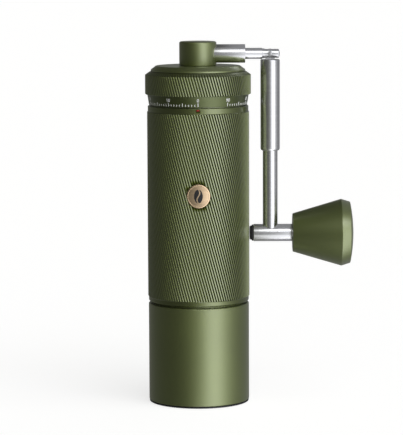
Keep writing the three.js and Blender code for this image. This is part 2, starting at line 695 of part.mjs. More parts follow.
function axleTube() {
  const [start, end] = [along(AXLE_TUBE_START_X), along(AXLE_TUBE_END_X)];
  return turned([
    [0, start + 3.2], [BUMPER_HOLE_R, start + 3.2], [BUMPER_HOLE_R, start], [AXLE_TUBE_R - 0.2, start],
    [AXLE_TUBE_R, start + 0.2], [AXLE_TUBE_R, end - 0.3], [AXLE_TUBE_R - 0.3, end], [TUBE_BORE_R, end],
    [TUBE_BORE_R, start + 6.2], [0, start + 6.2],
  ], MEDIUM);
}

function armBumper() {
  return turned([
    [0, along(27.65)], [3.4, along(27.65)], [3.8, along(28)], [3.8, along(28.7)], [4.4, along(29.6)],
    [BUMPER_HOLE_R - 0.2, along(29.6)], [BUMPER_HOLE_R - 0.2, along(32.5)], [0, along(32.5)],
  ], MEDIUM);
}

const AXLE_R = 2.5;
const AXLE_ROOT_R = TUBE_BORE_R - FIT_GAP;
const AXLE_END_X = 74;
const KNOB_SCREW_R = 1.2;
const KNOB_SCREW_HEAD_R = 3.4;

function knobAxle() {
  const bore = KNOB_SCREW_R + 0.2;
  return turned([
    [0, along(36.2)], [AXLE_ROOT_R, along(36.2)], [AXLE_ROOT_R, along(50.7)], [AXLE_R, along(50.7)],
    [AXLE_R, along(AXLE_END_X)], [bore, along(AXLE_END_X)], [bore, along(66)], [0, along(66)],
  ], COARSE);
}

function knobScrew() {
  const head = AXLE_END_X + 0.2;
  return turned([
    [0, along(67)], [KNOB_SCREW_R, along(67)], [KNOB_SCREW_R, along(head)],
    [KNOB_SCREW_HEAD_R, along(head)], [KNOB_SCREW_HEAD_R, along(head + 1.4)],
    [KNOB_SCREW_HEAD_R - 0.8, along(head + 2.2)], [0, along(head + 2.2)],
  ], COARSE);
}

// ---------- locking sleeve on the arm ----------

const SLEEVE_R = 5.2;
const SLEEVE_BORE_R = 4.15;
const SLEEVE_TOP_Z = -3.2;
const SLEEVE_BOTTOM_Z = -52.3;
const SPRING_STOP_R = 3.1; // collar inside the sleeve that the spring pushes on
const SPRING_STOP_TOP_Z = -5.7;
const SPRING_STOP_BOTTOM_Z = -8.7;

function lockingSleeve() {
  return turned([
    [SLEEVE_BORE_R, SLEEVE_BOTTOM_Z], [4.35, SLEEVE_BOTTOM_Z], [SLEEVE_R, SLEEVE_BOTTOM_Z + 1.2],
    [SLEEVE_R, SLEEVE_TOP_Z - 0.3], [SLEEVE_R - 0.25, SLEEVE_TOP_Z], [4.75, SLEEVE_TOP_Z],
    [SLEEVE_BORE_R, SLEEVE_TOP_Z - 0.8], [SLEEVE_BORE_R, SPRING_STOP_TOP_Z],
    [SPRING_STOP_R, SPRING_STOP_TOP_Z], [SPRING_STOP_R, SPRING_STOP_BOTTOM_Z],
    [SLEEVE_BORE_R, SPRING_STOP_BOTTOM_Z], [SLEEVE_BORE_R, SLEEVE_BOTTOM_Z],
  ], MEDIUM);
}

// ---------- knob ----------

const KNOB_START_X = 50.9;
const KNOB_RIM_X = 77.2;
const KNOB_BEVEL_X = 82;
const KNOB_END_X = 83.75;
const KNOB_SMALL_R = 10.35;
const KNOB_RIM_R = 18.1;
const KNOB_BEVEL_R = 16.6;
const KNOB_BORE_R = 4.6;
const CAP_R = 13.5;
const CAP_WALL = 2;
const RECESS_X = 77.6; // floor of the cap's recess

// The knob's shallow dome, as the place of its surface at a radius.
const domeX = (radius) => KNOB_END_X - (KNOB_END_X - KNOB_BEVEL_X) * (radius / KNOB_BEVEL_R) ** 2;

function knobShell() {
  const recess = CAP_R + 0.25;
  return turned([
    [KNOB_BORE_R, along(KNOB_START_X)], [KNOB_SMALL_R - 0.4, along(KNOB_START_X)],
    [KNOB_SMALL_R, along(KNOB_START_X + 0.4)], [KNOB_RIM_R, along(KNOB_RIM_X)],
    [KNOB_BEVEL_R, along(KNOB_BEVEL_X)], [recess, along(domeX(recess))], [recess, along(RECESS_X)],
    [KNOB_BORE_R, along(RECESS_X)], [KNOB_BORE_R, along(KNOB_START_X)],
  ], FINE);
}

function knobCap() {
  const [underside, edge] = [along(79.6), along(RECESS_X + 0.3)];
  const dome = [1, 0.75, 0.5, 0.25, 0].map((share) => [CAP_R * share, along(domeX(CAP_R * share))]);
  return turned(
    [[0, underside], [CAP_R - CAP_WALL, underside], [CAP_R - CAP_WALL, edge], [CAP_R, edge], ...dome],
    FINE,
  );
}

const knobBush = (start, end) => ring(AXLE_R + FIT_GAP, KNOB_BORE_R - FIT_GAP, along(start), along(end));

// ---------- assembly ----------

const body = assembly();
piece(body, "outer_shell", outerShell(), GREEN);
piece(body, "badge", wallSlice(BADGE_BACK_R, BODY_R, BADGE_R, BADGE_Z, MEDIUM), BRASS);
const index = indexTriangle(INDEX_BACK_R, BAND_R, INDEX_HALF_WIDTH, INDEX_BOTTOM_Z, INDEX_TOP_Z);
piece(body, "index_mark", index, RED);
piece(body, "burr_carrier", burrCarrier(), GREEN);
piece(body, "ring_burr", ringBurr(), BURR_STEEL);
piece(body, "ring_burr_retainer", burrRetainer(), STEEL);
piece(body, "lower_bearing_outer_race", outerRace(LOWER_BEARING_Z), STEEL);
piece(body, "guide_sleeve", guideSleeve(), GREEN);
const dialSnapRing = snapRing(GUIDE_GROOVE_R + 0.2, 25.7, GROOVE_BOTTOM_Z + 0.2, GROOVE_TOP_Z - 0.2, 5);
piece(body, "dial_snap_ring", dialSnapRing, SPRING_STEEL);
MAGNET_ANGLES.forEach((angle, i) =>
  piece(body, `cup_magnet_${i + 1}`, magnetAt(angle, MAGNET_R, CARRIER_BOTTOM_Z + 0.1, 52.1), MAGNET),
);
[0, 180].forEach((angle, i) => {
  piece(body, `detent_ball_${i + 1}`, turnZ(detentBall(), angle), STEEL);
  piece(body, `detent_spring_${i + 1}`, turnZ(detentSpring(), angle), SPRING_STEEL);
  piece(body, `carriage_key_${i + 1}`, turnZ(keyPin(), angle), STEEL);
});

const lowerRace = assembly();
piece(lowerRace, "lower_bearing_inner_race", innerRace(LOWER_BEARING_Z), STEEL);
piece(lowerRace, "preload_spring", spring(4.75, 0.4, 75.9, SPRING_CLIP_Z - 0.2, 7), SPRING_STEEL);
const lowerBalls = assembly();
piece(lowerBalls, "lower_bearing_balls", ballCage(LOWER_BEARING_Z), STEEL);

const dial = assembly();
piece(dial, "grind_dial", dialRing(), GREEN);

const carriage = assembly();
piece(carriage, "bearing_carriage", bearingCarriage(), ALUMINIUM);
piece(carriage, "upper_bearing_outer_race", outerRace(UPPER_BEARING_Z), STEEL);
piece(carriage, "bearing_circlip", snapRing(6.9, 7.8, 155.8, 156.6, 3), SPRING_STEEL);

const upperBalls = assembly(carriage);
piece(upperBalls, "upper_bearing_balls", ballCage(UPPER_BEARING_Z), STEEL);

const shaft = assembly(carriage);
piece(shaft, "drive_shaft", driveShaft(), STEEL);
piece(shaft, "upper_bearing_inner_race", innerRace(UPPER_BEARING_Z), STEEL);
piece(shaft, "shaft_clip_above_bearing", shaftClip(155.8, 5.6), SPRING_STEEL);
piece(shaft, "shaft_clip_below_bearing", shaftClip(149.6, 5.6), SPRING_STEEL);
piece(shaft, "preload_spring_clip", shaftClip(SPRING_CLIP_Z, 6.6), SPRING_STEEL);
piece(shaft, "cone_burr", coneBurr(), BURR_STEEL);
piece(shaft, "cone_burr_washer", ring(2.25, 7.4, 49.6, 50.5, 24), STEEL);
piece(shaft, "cone_burr_screw", burrScrew(), STEEL);

const cup = assembly();
piece(cup, "catch_cup", catchCup(), GREEN);
piece(cup, "cup_base_pad", basePad(), RUBBER);
piece(cup, "cup_steel_ring", ring(22.4, 24.8, 46, 47.4), STEEL);

const lid = assembly();
piece(lid, "lid_plate", lidPlate(), GREEN);
const gasket = ring(GASKET_BORE_R, LID_BORE_R - 0.25, GASKET_BOTTOM_Z, GASKET_TOP_Z, FINE);
piece(lid, "lid_gasket", gasket, SILICONE);
const lidBush = ring(HUB_NECK_R + FIT_GAP, LID_HOLE_R - 0.2, LID_PLATE_Z + 0.1, LID_TOP_Z - 0.2, FINE);
piece(lid, "lid_bush", lidBush, POLYMER);

const crank = assembly(lid);
piece(crank, "crank_hub", crankHub(), GREEN);
piece(crank, "hub_drive_insert", driveInsert(), STEEL);
const hubCirclip = snapRing(HUB_GROOVE_R + 0.1, 9.4, HUB_GROOVE_BOTTOM_Z + 0.1, HUB_GROOVE_TOP_Z - 0.1, 4);
piece(crank, "hub_circlip", hubCirclip, SPRING_STEEL);
piece(crank, "crank_neck", crankNeck(), STEEL);
piece(crank, "hinge_pin", barAlongY(PIN_R, -2.75, 2.75, PIVOT_X, ARM_AXIS_Z, 16), STEEL);

const arm = assembly(crank);
arm.position.set(PIVOT_X, 0, ARM_AXIS_Z);
piece(arm, "arm_rod", armRod(), STEEL);
const sleeveSpring = spring(3.45, 0.32, SHOULDER_Z + 0.2, SPRING_STOP_BOTTOM_Z - 0.2, 7);
piece(arm, "sleeve_spring", sleeveSpring, SPRING_STEEL);

const sleeve = assembly(arm);
piece(sleeve, "locking_sleeve", lockingSleeve(), STEEL);

const lowerEnd = assembly(arm);
lowerEnd.position.z = -ARM_LENGTH;
lowerEnd.rotation.y = Math.PI / 2;
piece(lowerEnd, "axle_tube", axleTube(), STEEL);
piece(lowerEnd, "arm_bumper", armBumper(), RUBBER);
piece(lowerEnd, "knob_axle", knobAxle(), STEEL);
piece(lowerEnd, "knob_screw", knobScrew(), STEEL);

const knob = assembly(lowerEnd);
piece(knob, "knob_shell", knobShell(), GREEN);
piece(knob, "knob_cap", knobCap(), GREEN);
piece(knob, "knob_bush_inner", knobBush(51.2, 57.2), POLYMER);
piece(knob, "knob_bush_outer", knobBush(67.6, 73.6), POLYMER);

export default grinder;
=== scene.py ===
"""Looks for the hand crank coffee grinder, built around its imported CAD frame.

The frame is in metres with +Z up. The grinder's axis is the Z axis, the folded arm hangs on the +X side,
and the front, with the badge and the dial's index, faces -Y. Lengths below are in millimetres unless a
name says otherwise, and mm() turns them into metres. Places come from the CAD nodes' boxes.
"""
import json
from math import asin, cos, degrees, floor, pi, radians, sin, sqrt, tan

import bmesh
import bpy
from mathutils import Euler, Matrix, Vector


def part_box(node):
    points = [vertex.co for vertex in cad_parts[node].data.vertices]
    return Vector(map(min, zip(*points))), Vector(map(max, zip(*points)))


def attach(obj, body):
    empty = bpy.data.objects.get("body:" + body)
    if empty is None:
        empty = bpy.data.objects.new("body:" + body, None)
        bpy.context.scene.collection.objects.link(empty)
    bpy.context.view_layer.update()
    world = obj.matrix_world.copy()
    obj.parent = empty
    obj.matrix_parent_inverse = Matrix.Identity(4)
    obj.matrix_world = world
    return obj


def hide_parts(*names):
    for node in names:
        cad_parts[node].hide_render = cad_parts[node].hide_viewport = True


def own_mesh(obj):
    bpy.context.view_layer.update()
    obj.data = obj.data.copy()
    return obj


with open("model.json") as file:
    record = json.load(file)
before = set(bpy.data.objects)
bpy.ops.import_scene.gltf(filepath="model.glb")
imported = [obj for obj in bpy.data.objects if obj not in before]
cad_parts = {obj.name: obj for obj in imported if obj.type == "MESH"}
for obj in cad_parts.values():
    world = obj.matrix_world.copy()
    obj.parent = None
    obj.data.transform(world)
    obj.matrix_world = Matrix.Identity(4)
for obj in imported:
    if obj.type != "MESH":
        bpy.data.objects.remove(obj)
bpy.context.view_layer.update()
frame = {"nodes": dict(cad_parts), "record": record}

MM = 0.001


def mm(*lengths):
    """Millimetres as a vector in metres."""
    return Vector(lengths) * MM


def span(node):
    """How far a CAD node reaches from the axis along Y, and its lowest and highest z, in mm."""
    low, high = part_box(node)
    return high.y / MM, low.z / MM, high.z / MM


def span_x(node):
    """The same for a node that lies along X: its radius, and its lowest and highest x, in mm."""
    low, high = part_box(node)
    return high.y / MM, low.x / MM, high.x / MM


def centre(node):
    low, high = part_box(node)
    return (low + high) / 2 / MM


# ---------- sizes taken from the frame ----------

BODY_R, BODY_BOTTOM, BODY_TOP = span("outer_shell")
CUP_R, CUP_FOOT, CUP_TOP = span("catch_cup")
DIAL_R, DIAL_BOTTOM, DIAL_TOP = span("grind_dial")
LID_R, LID_BOTTOM, LID_TOP = span("lid_plate")
HUB_R, HUB_NECK_BOTTOM, HUB_TOP = span("crank_hub")
PAD_R, PAD_BOTTOM, PAD_TOP = span("cup_base_pad")
SLEEVE_R, SLEEVE_BOTTOM, SLEEVE_TOP = span("locking_sleeve")
COLLAR_R, NECK_START_X, NECK_END_X = span_x("crank_neck")
TUBE_R, TUBE_START_X, TUBE_END_X = span_x("axle_tube")
BUMPER_R, BUMPER_START_X, BUMPER_END_X = span_x("arm_bumper")
KNOB_R, KNOB_START_X, _ = span_x("knob_shell")
PIVOT_X = centre("hinge_pin").x
ARM_AXIS_Z = centre("hinge_pin").z
KNOB_AXIS_Z = centre("knob_shell").z
BADGE_Z = centre("badge").z
LOWER_BEARING = span("lower_bearing_outer_race")
UPPER_BEARING = span("upper_bearing_outer_race")

# ---------- sizes of the finish ----------

BAND_R = BODY_R - 0.4  # smooth bands above and below the knurl
BODY_BORE_R = 25.2
KNURL_BOTTOM = 57.8
KNURL_TOP = 157.5
GRIP_BOTTOM = 167
GRIP_TOP = 177.4
RIBS = 118
RIB_LEAN = radians(16)  # from upright, leaning right as they go down
RIB_DEPTH = 0.36
RIB_PROFILE = (0, 0.9, 1, 1, 1, 0.82, 0.45, 0.1)  # heights across one rib, steeper on its left
SMOOTH = 0.75  # what the ribs' crest attribute holds where there are no ribs
SKIRT_TOP_R = 27.35
SKIRT_BOTTOM_R = 26.4
EDGE = 0.15  # rounding on ordinary machined edges

FINE = 144  # sides of the large turned pieces
MEDIUM = 72
SMALL = 40
TINY = 24  # sides of pockets, keys and wells
OPPOSITE = (0, 180)  # angles of a pair of like pieces, in degrees
SHARP = radians(32)  # faces that meet at more than this keep a crisp edge
ON_AXIS = 1e-6

# ---------- meshes ----------


def placed(name, data):
    """A new object in the scene."""
    thing = bpy.data.objects.new(name, data)
    bpy.context.scene.collection.objects.link(thing)
    return thing


def add_piece(name, mesh, body, slot, replaces=(), material=None):
    """Puts a mesh in the scene as one visible piece that rides on a CAD body, in its slot's material unless
    another material is given.
    """
    piece = placed(name, mesh)
    mesh.materials.clear()
    mesh.materials.append(material or SLOT_MATERIALS[slot])
    mesh.shade_smooth()
    mesh.set_sharp_from_angle(angle=SHARP)
    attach(piece, body)
    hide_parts(*replaces)
    return piece


def mesh_from(bm, name):
    bmesh.ops.recalc_face_normals(bm, faces=bm.faces)
    mesh = bpy.data.meshes.new(name)
    bm.to_mesh(mesh)
    bm.free()
    return mesh


def softened(outline, radius=EDGE, steps=3):
    """A closed outline of (radius, z) points with its corners rounded, except those on the axis."""
    points = [Vector(point) for point in outline]
    rounded = []
    for i, corner in enumerate(points):
        to_before = points[i - 1] - corner
        to_after = points[(i + 1) % len(points)] - corner
        if corner.x < ON_AXIS or to_before.angle(to_after) > radians(168):
            rounded.append(corner)
            continue
        reach = min(radius, 0.45 * to_before.length, 0.45 * to_after.length)
        start = corner + to_before.normalized() * reach
        end = corner + to_after.normalized() * reach
        for step in range(steps + 1):
            t = step / steps
            rounded.append(start.lerp(corner, t).lerp(corner.lerp(end, t), t))
    return rounded


def revolved(outline, sides=FINE, place=Matrix.Identity(4)):
    """A turned mesh about Z from a closed outline of (radius, z) points, moved by place (in mm)."""
    rows = []
    for radius, z in outline:
        turns = [0] if radius < ON_AXIS else [2 * pi * i / sides for i in range(sides)]
        rows.append([mm(radius * sin(a), -radius * cos(a), z) for a in turns])
    return skinned(rows, "turned", place)


def turned(outline, edge=EDGE, sides=FINE, place=Matrix.Identity(4)):
    """A turned mesh whose corners are rounded by edge."""
    return revolved(softened(outline, edge), sides, place)


def skinned(rows, name, place=Matrix.Identity(4)):
    """A mesh over rings of points, each joined to the next and the last to the first, moved by place (in mm).

    A ring of one point is a pole.
    """
    bm = bmesh.new()
    rings = [[bm.verts.new(point) for point in row] for row in rows]
    sides = max(len(ring) for ring in rings)
    for low, high in zip(rings, rings[1:] + rings[:1]):
        if len(low) == len(high) == 1:
            continue
        for i in range(sides):
            j = (i + 1) % sides
            corners = (low[i % len(low)], low[j % len(low)], high[j % len(high)], high[i % len(high)])
            bm.faces.new(list(dict.fromkeys(corners)))
    bm.transform(Matrix.Diagonal((MM, MM, MM, 1)) @ place @ Matrix.Diagonal((1 / MM, 1 / MM, 1 / MM, 1)))
    return mesh_from(bm, name)


def ribbed(outline, outer_r, skin):
    """A turned mesh that carries leaning ribs wherever its outline lies within skin of outer_r.

    Its crest attribute is how near a point is to a rib's crest, or SMOOTH where there are no ribs; the
    knurl's material paints shade into the valleys from it.
    """
    sides = RIBS * len(RIB_PROFILE)
    twist = tan(RIB_LEAN) / outer_r
    rows, crests = [], []
    for radius, z in subdivided(outline, 3.5):
        depth = RIB_DEPTH if radius > outer_r - skin else 0
        row = []
        for i in range(sides):
            crest = RIB_PROFILE[i % len(RIB_PROFILE)]
            angle = 2 * pi * i / sides - twist * z
            reach = radius - depth * (1 - crest)
            row.append(mm(reach * sin(angle), -reach * cos(angle), z))
            crests.append(sqrt(crest) if depth else SMOOTH)
        rows.append(row)
    mesh = skinned(rows, "ribbed")
    mesh.attributes.new("crest", "FLOAT", "POINT").data.foreach_set("value", crests)
    return mesh


def subdivided(outline, longest):
    """The outline with points added so that no stretch rises by more than longest."""
    finer = []
    for start, end in zip(outline, outline[1:] + outline[:1]):
        pieces = max(1, int(abs(end[1] - start[1]) / longest) + 1)
        finer += [Vector(start).lerp(Vector(end), i / pieces) for i in range(pieces)]
    return finer


def along_x(z):
    """Lays a piece drawn about Z along X at a height, so that its z becomes x."""
    return Matrix.Translation((0, 0, z)) @ Matrix.Rotation(pi / 2, 4, "Y")


def along_y(x, z):
    return Matrix.Translation((x, 0, z)) @ Matrix.Rotation(-pi / 2, 4, "X")


def bar(radius, bottom, top, sides=SMALL, place=Matrix.Identity(4), edge=0.0):
    outline = [(0, bottom), (radius, bottom), (radius, top), (0, top)]
    return revolved(softened(outline, edge) if edge else outline, sides, place)


def ring(inner, outer, bottom, top, sides=MEDIUM, edge=0.1):
    return turned([(inner, bottom), (outer, bottom), (outer, top), (inner, top)], edge, sides)


def block(x0, x1, y0, y1, z0, z1, turn=0):
    """A box between two corners, turned about Z by some degrees."""
    bm = bmesh.new()
    size = mm(x1 - x0, y1 - y0, z1 - z0)
    middle = mm(x0 + x1, y0 + y1, z0 + z1) / 2
    place = Matrix.Rotation(radians(turn), 4, "Z") @ Matrix.Translation(middle)
    bmesh.ops.create_cube(bm, size=1, matrix=place @ Matrix.Diagonal((*size, 1)))
    return mesh_from(bm, "block")


def prism(bm, near, far):
    """A closed block between two like rings of vertices."""
    bm.faces.new(near)
    bm.faces.new(far)
    for i in range(len(near)):
        bm.faces.new((near[i], near[i - 1], far[i - 1], far[i]))


def turned_about_z(mesh, angle):
    mesh.transform(Matrix.Rotation(radians(angle), 4, "Z"))
    return mesh


def combine(mesh, tools, operation):
    """One mesh cut by, joined with or kept inside others."""
    piece = placed("work", mesh)
    others = [placed("tool", tool) for tool in tools]
    for other in others:
        modifier = piece.modifiers.new("combine", "BOOLEAN")
        modifier.operation = operation
        modifier.solver = "EXACT"
        modifier.object = other
    depsgraph = bpy.context.evaluated_depsgraph_get()
    result = bpy.data.meshes.new_from_object(piece.evaluated_get(depsgraph))
    for thing in (piece, *others):
        bpy.data.objects.remove(thing)
    return result


def cut(mesh, *tools):
    return combine(mesh, tools, "DIFFERENCE")


def join(mesh, *tools):
    return combine(mesh, tools, "UNION")


def common(mesh, tool):
    return combine(mesh, [tool], "INTERSECT")


def copied(mesh, angles):
    """The mesh repeated about Z at some angles, as one mesh."""
    bm = bmesh.new()
    for angle in angles:
        repeat = mesh.copy()
        bm.from_mesh(turned_about_z(repeat, angle))
        bpy.data.meshes.remove(repeat)
    return mesh_from(bm, "copies")


def coil(radius, wire, bottom, top, turns, centre_x=0, wire_sides=10, steps_per_turn=36):
    """A closed coil spring about an upright line, at an even pitch with capped ends."""
    steps = int(turns * steps_per_turn)
    bm = bmesh.new()
    rows = []
    for step in range(steps + 1):
        t = step / steps
        angle = 2 * pi * turns * t
        height = bottom + wire + (top - bottom - 2 * wire) * t
        outward = Vector((sin(angle), -cos(angle), 0))
        middle = Vector((centre_x, 0, height)) + radius * outward
        row = []
        for side in range(wire_sides):
            around = 2 * pi * side / wire_sides
            offset = cos(around) * outward + sin(around) * Vector((0, 0, 1))
            row.append(bm.verts.new((middle + wire * offset) * MM))
        rows.append(row)
    for low, high in zip(rows, rows[1:]):
        for i in range(wire_sides):
            j = (i + 1) % wire_sides
            bm.faces.new((low[i], low[j], high[j], high[i]))
    bm.faces.new(rows[0])
    bm.faces.new(rows[-1])
    return mesh_from(bm, "coil")


# ---------- materials ----------


class Shader:
    """A short way to wire one procedural material."""

    def __init__(self, name, colour, roughness, metallic, **sockets):
        self.material = bpy.data.materials.new(name)
        self.material.use_nodes = True
        self.tree = self.material.node_tree
        self.shader = self.tree.nodes["Principled BSDF"]
        self.colour, self.roughness = colour, roughness
        self.shader.inputs["Base Color"].default_value = (*colour, 1)
        self.shader.inputs["Roughness"].default_value = roughness
        self.shader.inputs["Metallic"].default_value = metallic
        for socket, value in sockets.items():
            self.shader.inputs[socket.replace("_", " ")].default_value = value
        self.place = self.tree.nodes.new("ShaderNodeTexCoord").outputs["Object"]

    def add(self, kind, values=(), source=None):
        """A node with some inputs set by name and its source linked to one of them."""
        node = self.tree.nodes.new("ShaderNode" + kind)
        for socket, value in dict(values).items():
            node.inputs[socket].default_value = value
        if source:
            self.tree.links.new(source[1], node.inputs[source[0]])
        return node

    def set(self, socket, value):
        self.tree.links.new(value, self.shader.inputs[socket])

    def stretched(self, *scale):
        """Object coordinates scaled per axis, for grain that runs one way."""
        return self.add("Mapping", {"Scale": scale}, ("Vector", self.place)).outputs["Vector"]

    def noise(self, scale, detail=3, vector=None):
        sizes = {"Scale": scale, "Detail": detail}
        return self.add("TexNoise", sizes, ("Vector", vector or self.place)).outputs["Fac"]

    def attribute(self, name):
        node = self.add("Attribute")
        node.attribute_name = name
        return node.outputs["Fac"]

    def map_range(self, value, low, high, to_low, to_high):
        ends = {"From Min": low, "From Max": high, "To Min": to_low, "To Max": to_high}
        return self.add("MapRange", ends, ("Value", value)).outputs["Result"]

    def vary_colour(self, value, dark, light, low=0.3, high=0.7):
        """Multiplies the colour by dark to light as value goes from low to high."""
        ramp = self.add("ValToRGB", source=("Fac", value))
        ramp.color_ramp.elements[0].position = low
        ramp.color_ramp.elements[1].position = high
        for element, share in zip(ramp.color_ramp.elements, (dark, light)):
            element.color = (*(min(1, c * share) for c in self.colour), 1)
        self.set("Base Color", ramp.outputs["Color"])

    def vary_roughness(self, value, amount):
        low, high = self.roughness - amount, self.roughness + amount
        self.set("Roughness", self.map_range(value, 0.3, 0.7, low, high))

    def vary_coat(self, value, low, high):
        """No coat where value is low or less, and a full one where it is high."""
        self.set("Coat Weight", self.map_range(value, low, high, 0, 1))

    def bump(self, height, strength, distance):
        node = self.add("Bump", {"Strength": strength, "Distance": distance}, ("Height", height))
        self.set("Normal", node.outputs["Normal"])


OLIVE = (0.18, 0.224, 0.032)
SHADED_OLIVE = (0.1, 0.128, 0.022)  # painted shade: the olive darkened for the dial's skirt under the grip


def satin_olive(name, colour, coat_ior):
    """Fine blasted and anodised aluminium: coloured metal under a thin, pale, rough oxide."""
    made = Shader(name, colour, 0.5, 0.95, Coat_Weight=1.0, Coat_Roughness=0.34, Coat_IOR=coat_ior)
    grain = made.noise(1500, 2)
    made.vary_colour(made.noise(45, 4), 0.95, 1.05)
    made.vary_roughness(grain, 0.03)
    made.bump(grain, 0.4, 0.00003)
    return made.material


def knurled_olive():
    """The same finish on ribs, with painted shade darkening the valleys between them and less coat down
    there.
    """
    made = Shader("knurled_olive", OLIVE, 0.4, 0.95, Coat_Roughness=0.2, Coat_IOR=2.4)
    crest = made.attribute("crest")
    # painted shade: the colour falls nearly to black down in the rib valleys
    made.vary_colour(crest, 0.08, 0.95, 0.0, 1.0)
    made.vary_coat(crest, 0.4, 1.0)
    grain = made.noise(2200, 2)
    made.vary_roughness(grain, 0.04)
    made.bump(grain, 0.2, 0.00002)
    return made.material


def polished_steel():
    """Stainless steel polished round the bar, with faint streaks."""
    made = Shader("polished_steel", (0.78, 0.78, 0.77), 0.24, 1.0)
    streaks = made.noise(60, 4, made.stretched(1, 1, 30))
    made.vary_colour(streaks, 0.95, 1.02)
    made.vary_roughness(streaks, 0.03)
    made.bump(made.noise(900, 2, made.stretched(1, 1, 5)), 0.05, 0.00001)
    return made.material


def marked_metal(name, colour, roughness, marks, stretch, shares, rougher, bump):
    """Bare metal with tool marks. marks is their noise, drawn out round the axis by stretch."""
    made = Shader(name, colour, roughness, 1.0)
    height = made.noise(*marks, made.stretched(1, 1, stretch))
    made.vary_colour(height, *shares)
    made.vary_roughness(height, rougher)
    made.bump(height, *bump)
    return made.material


def spring_wire():
    made = Shader("spring_wire", (0.48, 0.48, 0.47), 0.3, 1.0)
    made.vary_colour(made.noise(500, 3), 0.85, 1.1)
    return made.material


def nickel_plate():
    made = Shader("nickel_plate", (0.68, 0.68, 0.7), 0.12, 1.0)
    made.vary_roughness(made.noise(400, 3), 0.03)
    made.vary_colour(made.noise(200, 3), 0.95, 1.03)
    return made.material


def moulded(name, colour, roughness, mottle, shares, grain, bump):
    """Rubber, plastic or paint: slightly mottled, with a fine grain."""
    made = Shader(name, colour, roughness, 0.0)
    made.vary_colour(made.noise(*mottle), *shares)
    made.bump(made.noise(grain, 2), *bump)
    return made.material


def paint(name, colour):
    return moulded(name, colour, 0.45, (1500, 2), (0.9, 1.05), 2500, (0.1, 0.00001))


GREEN = satin_olive("satin_olive", OLIVE, 2.15)
# The dial's skirt: the same finish, its colour darkened by painted shade.
SHADED_GREEN = satin_olive("shaded_satin_olive", SHADED_OLIVE, 1.6)
KNURL = knurled_olive()
STEEL = polished_steel()
PRINT = paint("pale_print", (0.8, 0.8, 0.76))
INLAY = paint("dark_inlay", (0.012, 0.011, 0.011))

SLOT_MATERIALS = {
    "anodised_green": GREEN,
    "machined_aluminium": marked_metal("turned_aluminium", (0.7, 0.71, 0.72), 0.32, (120, 3), 40,
                                       (0.92, 1.04), 0.06, (0.15, 0.00003)),
    "arm_steel": STEEL,
    "inner_steel": marked_metal("ground_steel", (0.6, 0.6, 0.6), 0.3, (300, 3), 12,
                                (0.9, 1.05), 0.06, (0.12, 0.00002)),
    "burr_steel": marked_metal("burr_steel", (0.42, 0.42, 0.43), 0.34, (700, 4), 1,
                               (0.8, 1.1), 0.08, (0.2, 0.00003)),
    "spring_steel": spring_wire(),
    "magnet": nickel_plate(),
    "badge_brass": marked_metal("satin_brass", (0.78, 0.58, 0.36), 0.32, (70, 4), 12,
                                (0.88, 1.06), 0.05, (0.1, 0.00002)),
    "index_red": paint("red_fill", (0.42, 0.03, 0.02)),
    "rubber": moulded("black_rubber", (0.012, 0.012, 0.013), 0.62, (600, 3), (0.7, 1.3), 1500,
                      (0.3, 0.00004)),
    "silicone": moulded("dark_silicone", (0.035, 0.037, 0.035), 0.5, (400, 3), (0.8, 1.2), 900,
                        (0.15, 0.00003)),
    "bush_polymer": moulded("natural_polymer", (0.76, 0.73, 0.66), 0.45, (250, 3), (0.93, 1.04), 800,
                            (0.1, 0.00003)),
}

# Every CAD node gets its slot's material, whether or not a finer piece stands for it later.
for part in frame["record"]["subparts"]:
    mesh = frame["nodes"][part["node"]].data
    mesh.materials.clear()
    mesh.materials.append(SLOT_MATERIALS[part["material_slot"]])


# ---------- body shell, badge ----------

BADGE_R = 6.25
BODY_RIM_R = 26.6  # flat ends of the body, inside their chamfers


def on_body(x, z, radius):
    """The point of a cylinder about the grinder's axis that lies straight behind (x, z) on the front."""
    return mm(x, -sqrt(radius * radius - x * x), z)


def front_patch(rows, front_r, back_r):
    """A thin closed patch let into the front of the body. rows are equally long rows of (x, z, rise)."""
    bm = bmesh.new()
    front = [[bm.verts.new(on_body(x, z, front_r + rise)) for x, z, rise in row] for row in rows]
    back = [[bm.verts.new(on_body(x, z, back_r)) for x, z, rise in row] for row in rows]
    last, width = len(rows) - 1, len(rows[0]) - 1
    for j in range(last):
        for i in range(width):
            for grid in (front, back):
                bm.faces.new((grid[j][i], grid[j][i + 1], grid[j + 1][i + 1], grid[j + 1][i]))
    for j in range(last):
        for i in (0, width):
            bm.faces.new((front[j][i], front[j + 1][i], back[j + 1][i], back[j][i]))
    for i in range(width):
        for j in (0, last):
            bm.faces.new((front[j][i], front[j][i + 1], back[j][i + 1], back[j][i]))
    return mesh_from(bm, "patch")


def badge_mesh():
    """A disc bent to the body, with a low raised rim."""
    rings = [
        (0, 0), (0.3, 0), (0.55, 0), (0.8, 0), (0.88, 0), (0.9, 0.08), (0.96, 0.08), (1, 0),
        (1, -0.8), (0, -0.8),
    ]
    rows = []
    for share, rise in rings:
        angles = [0] if share == 0 else [2 * pi * i / MEDIUM for i in range(MEDIUM)]
        reach = BADGE_R * share
        rows.append([
            on_body(reach * cos(a), BADGE_Z + reach * sin(a), BODY_R - 0.1 + rise) for a in angles
        ])
    return skinned(rows, "badge")


BEAN_HALF_WIDTH = 2.35
BEAN_HALF_HEIGHT = 3.7
BEAN_SEAM = 0.34  # half width of the bean's curved seam


def bean_half(side):
    """One half of an upright coffee bean, split by an S-shaped seam."""
    rows = []
    count = 28
    for j in range(count + 1):
        t = 0.985 * (-1 + 2 * j / count)
        edge = side * BEAN_HALF_WIDTH * sqrt(1 - t * t)
        seam = 0.75 * sin(pi * t) + side * BEAN_SEAM
        if side * (edge - seam) < 0.02:
            seam = edge - side * 0.02
        rows.append([(seam + (edge - seam) * i / 6, BADGE_Z + BEAN_HALF_HEIGHT * t, 0) for i in range(7)])
    return front_patch(rows, BODY_R - 0.04, BODY_R - 0.3)


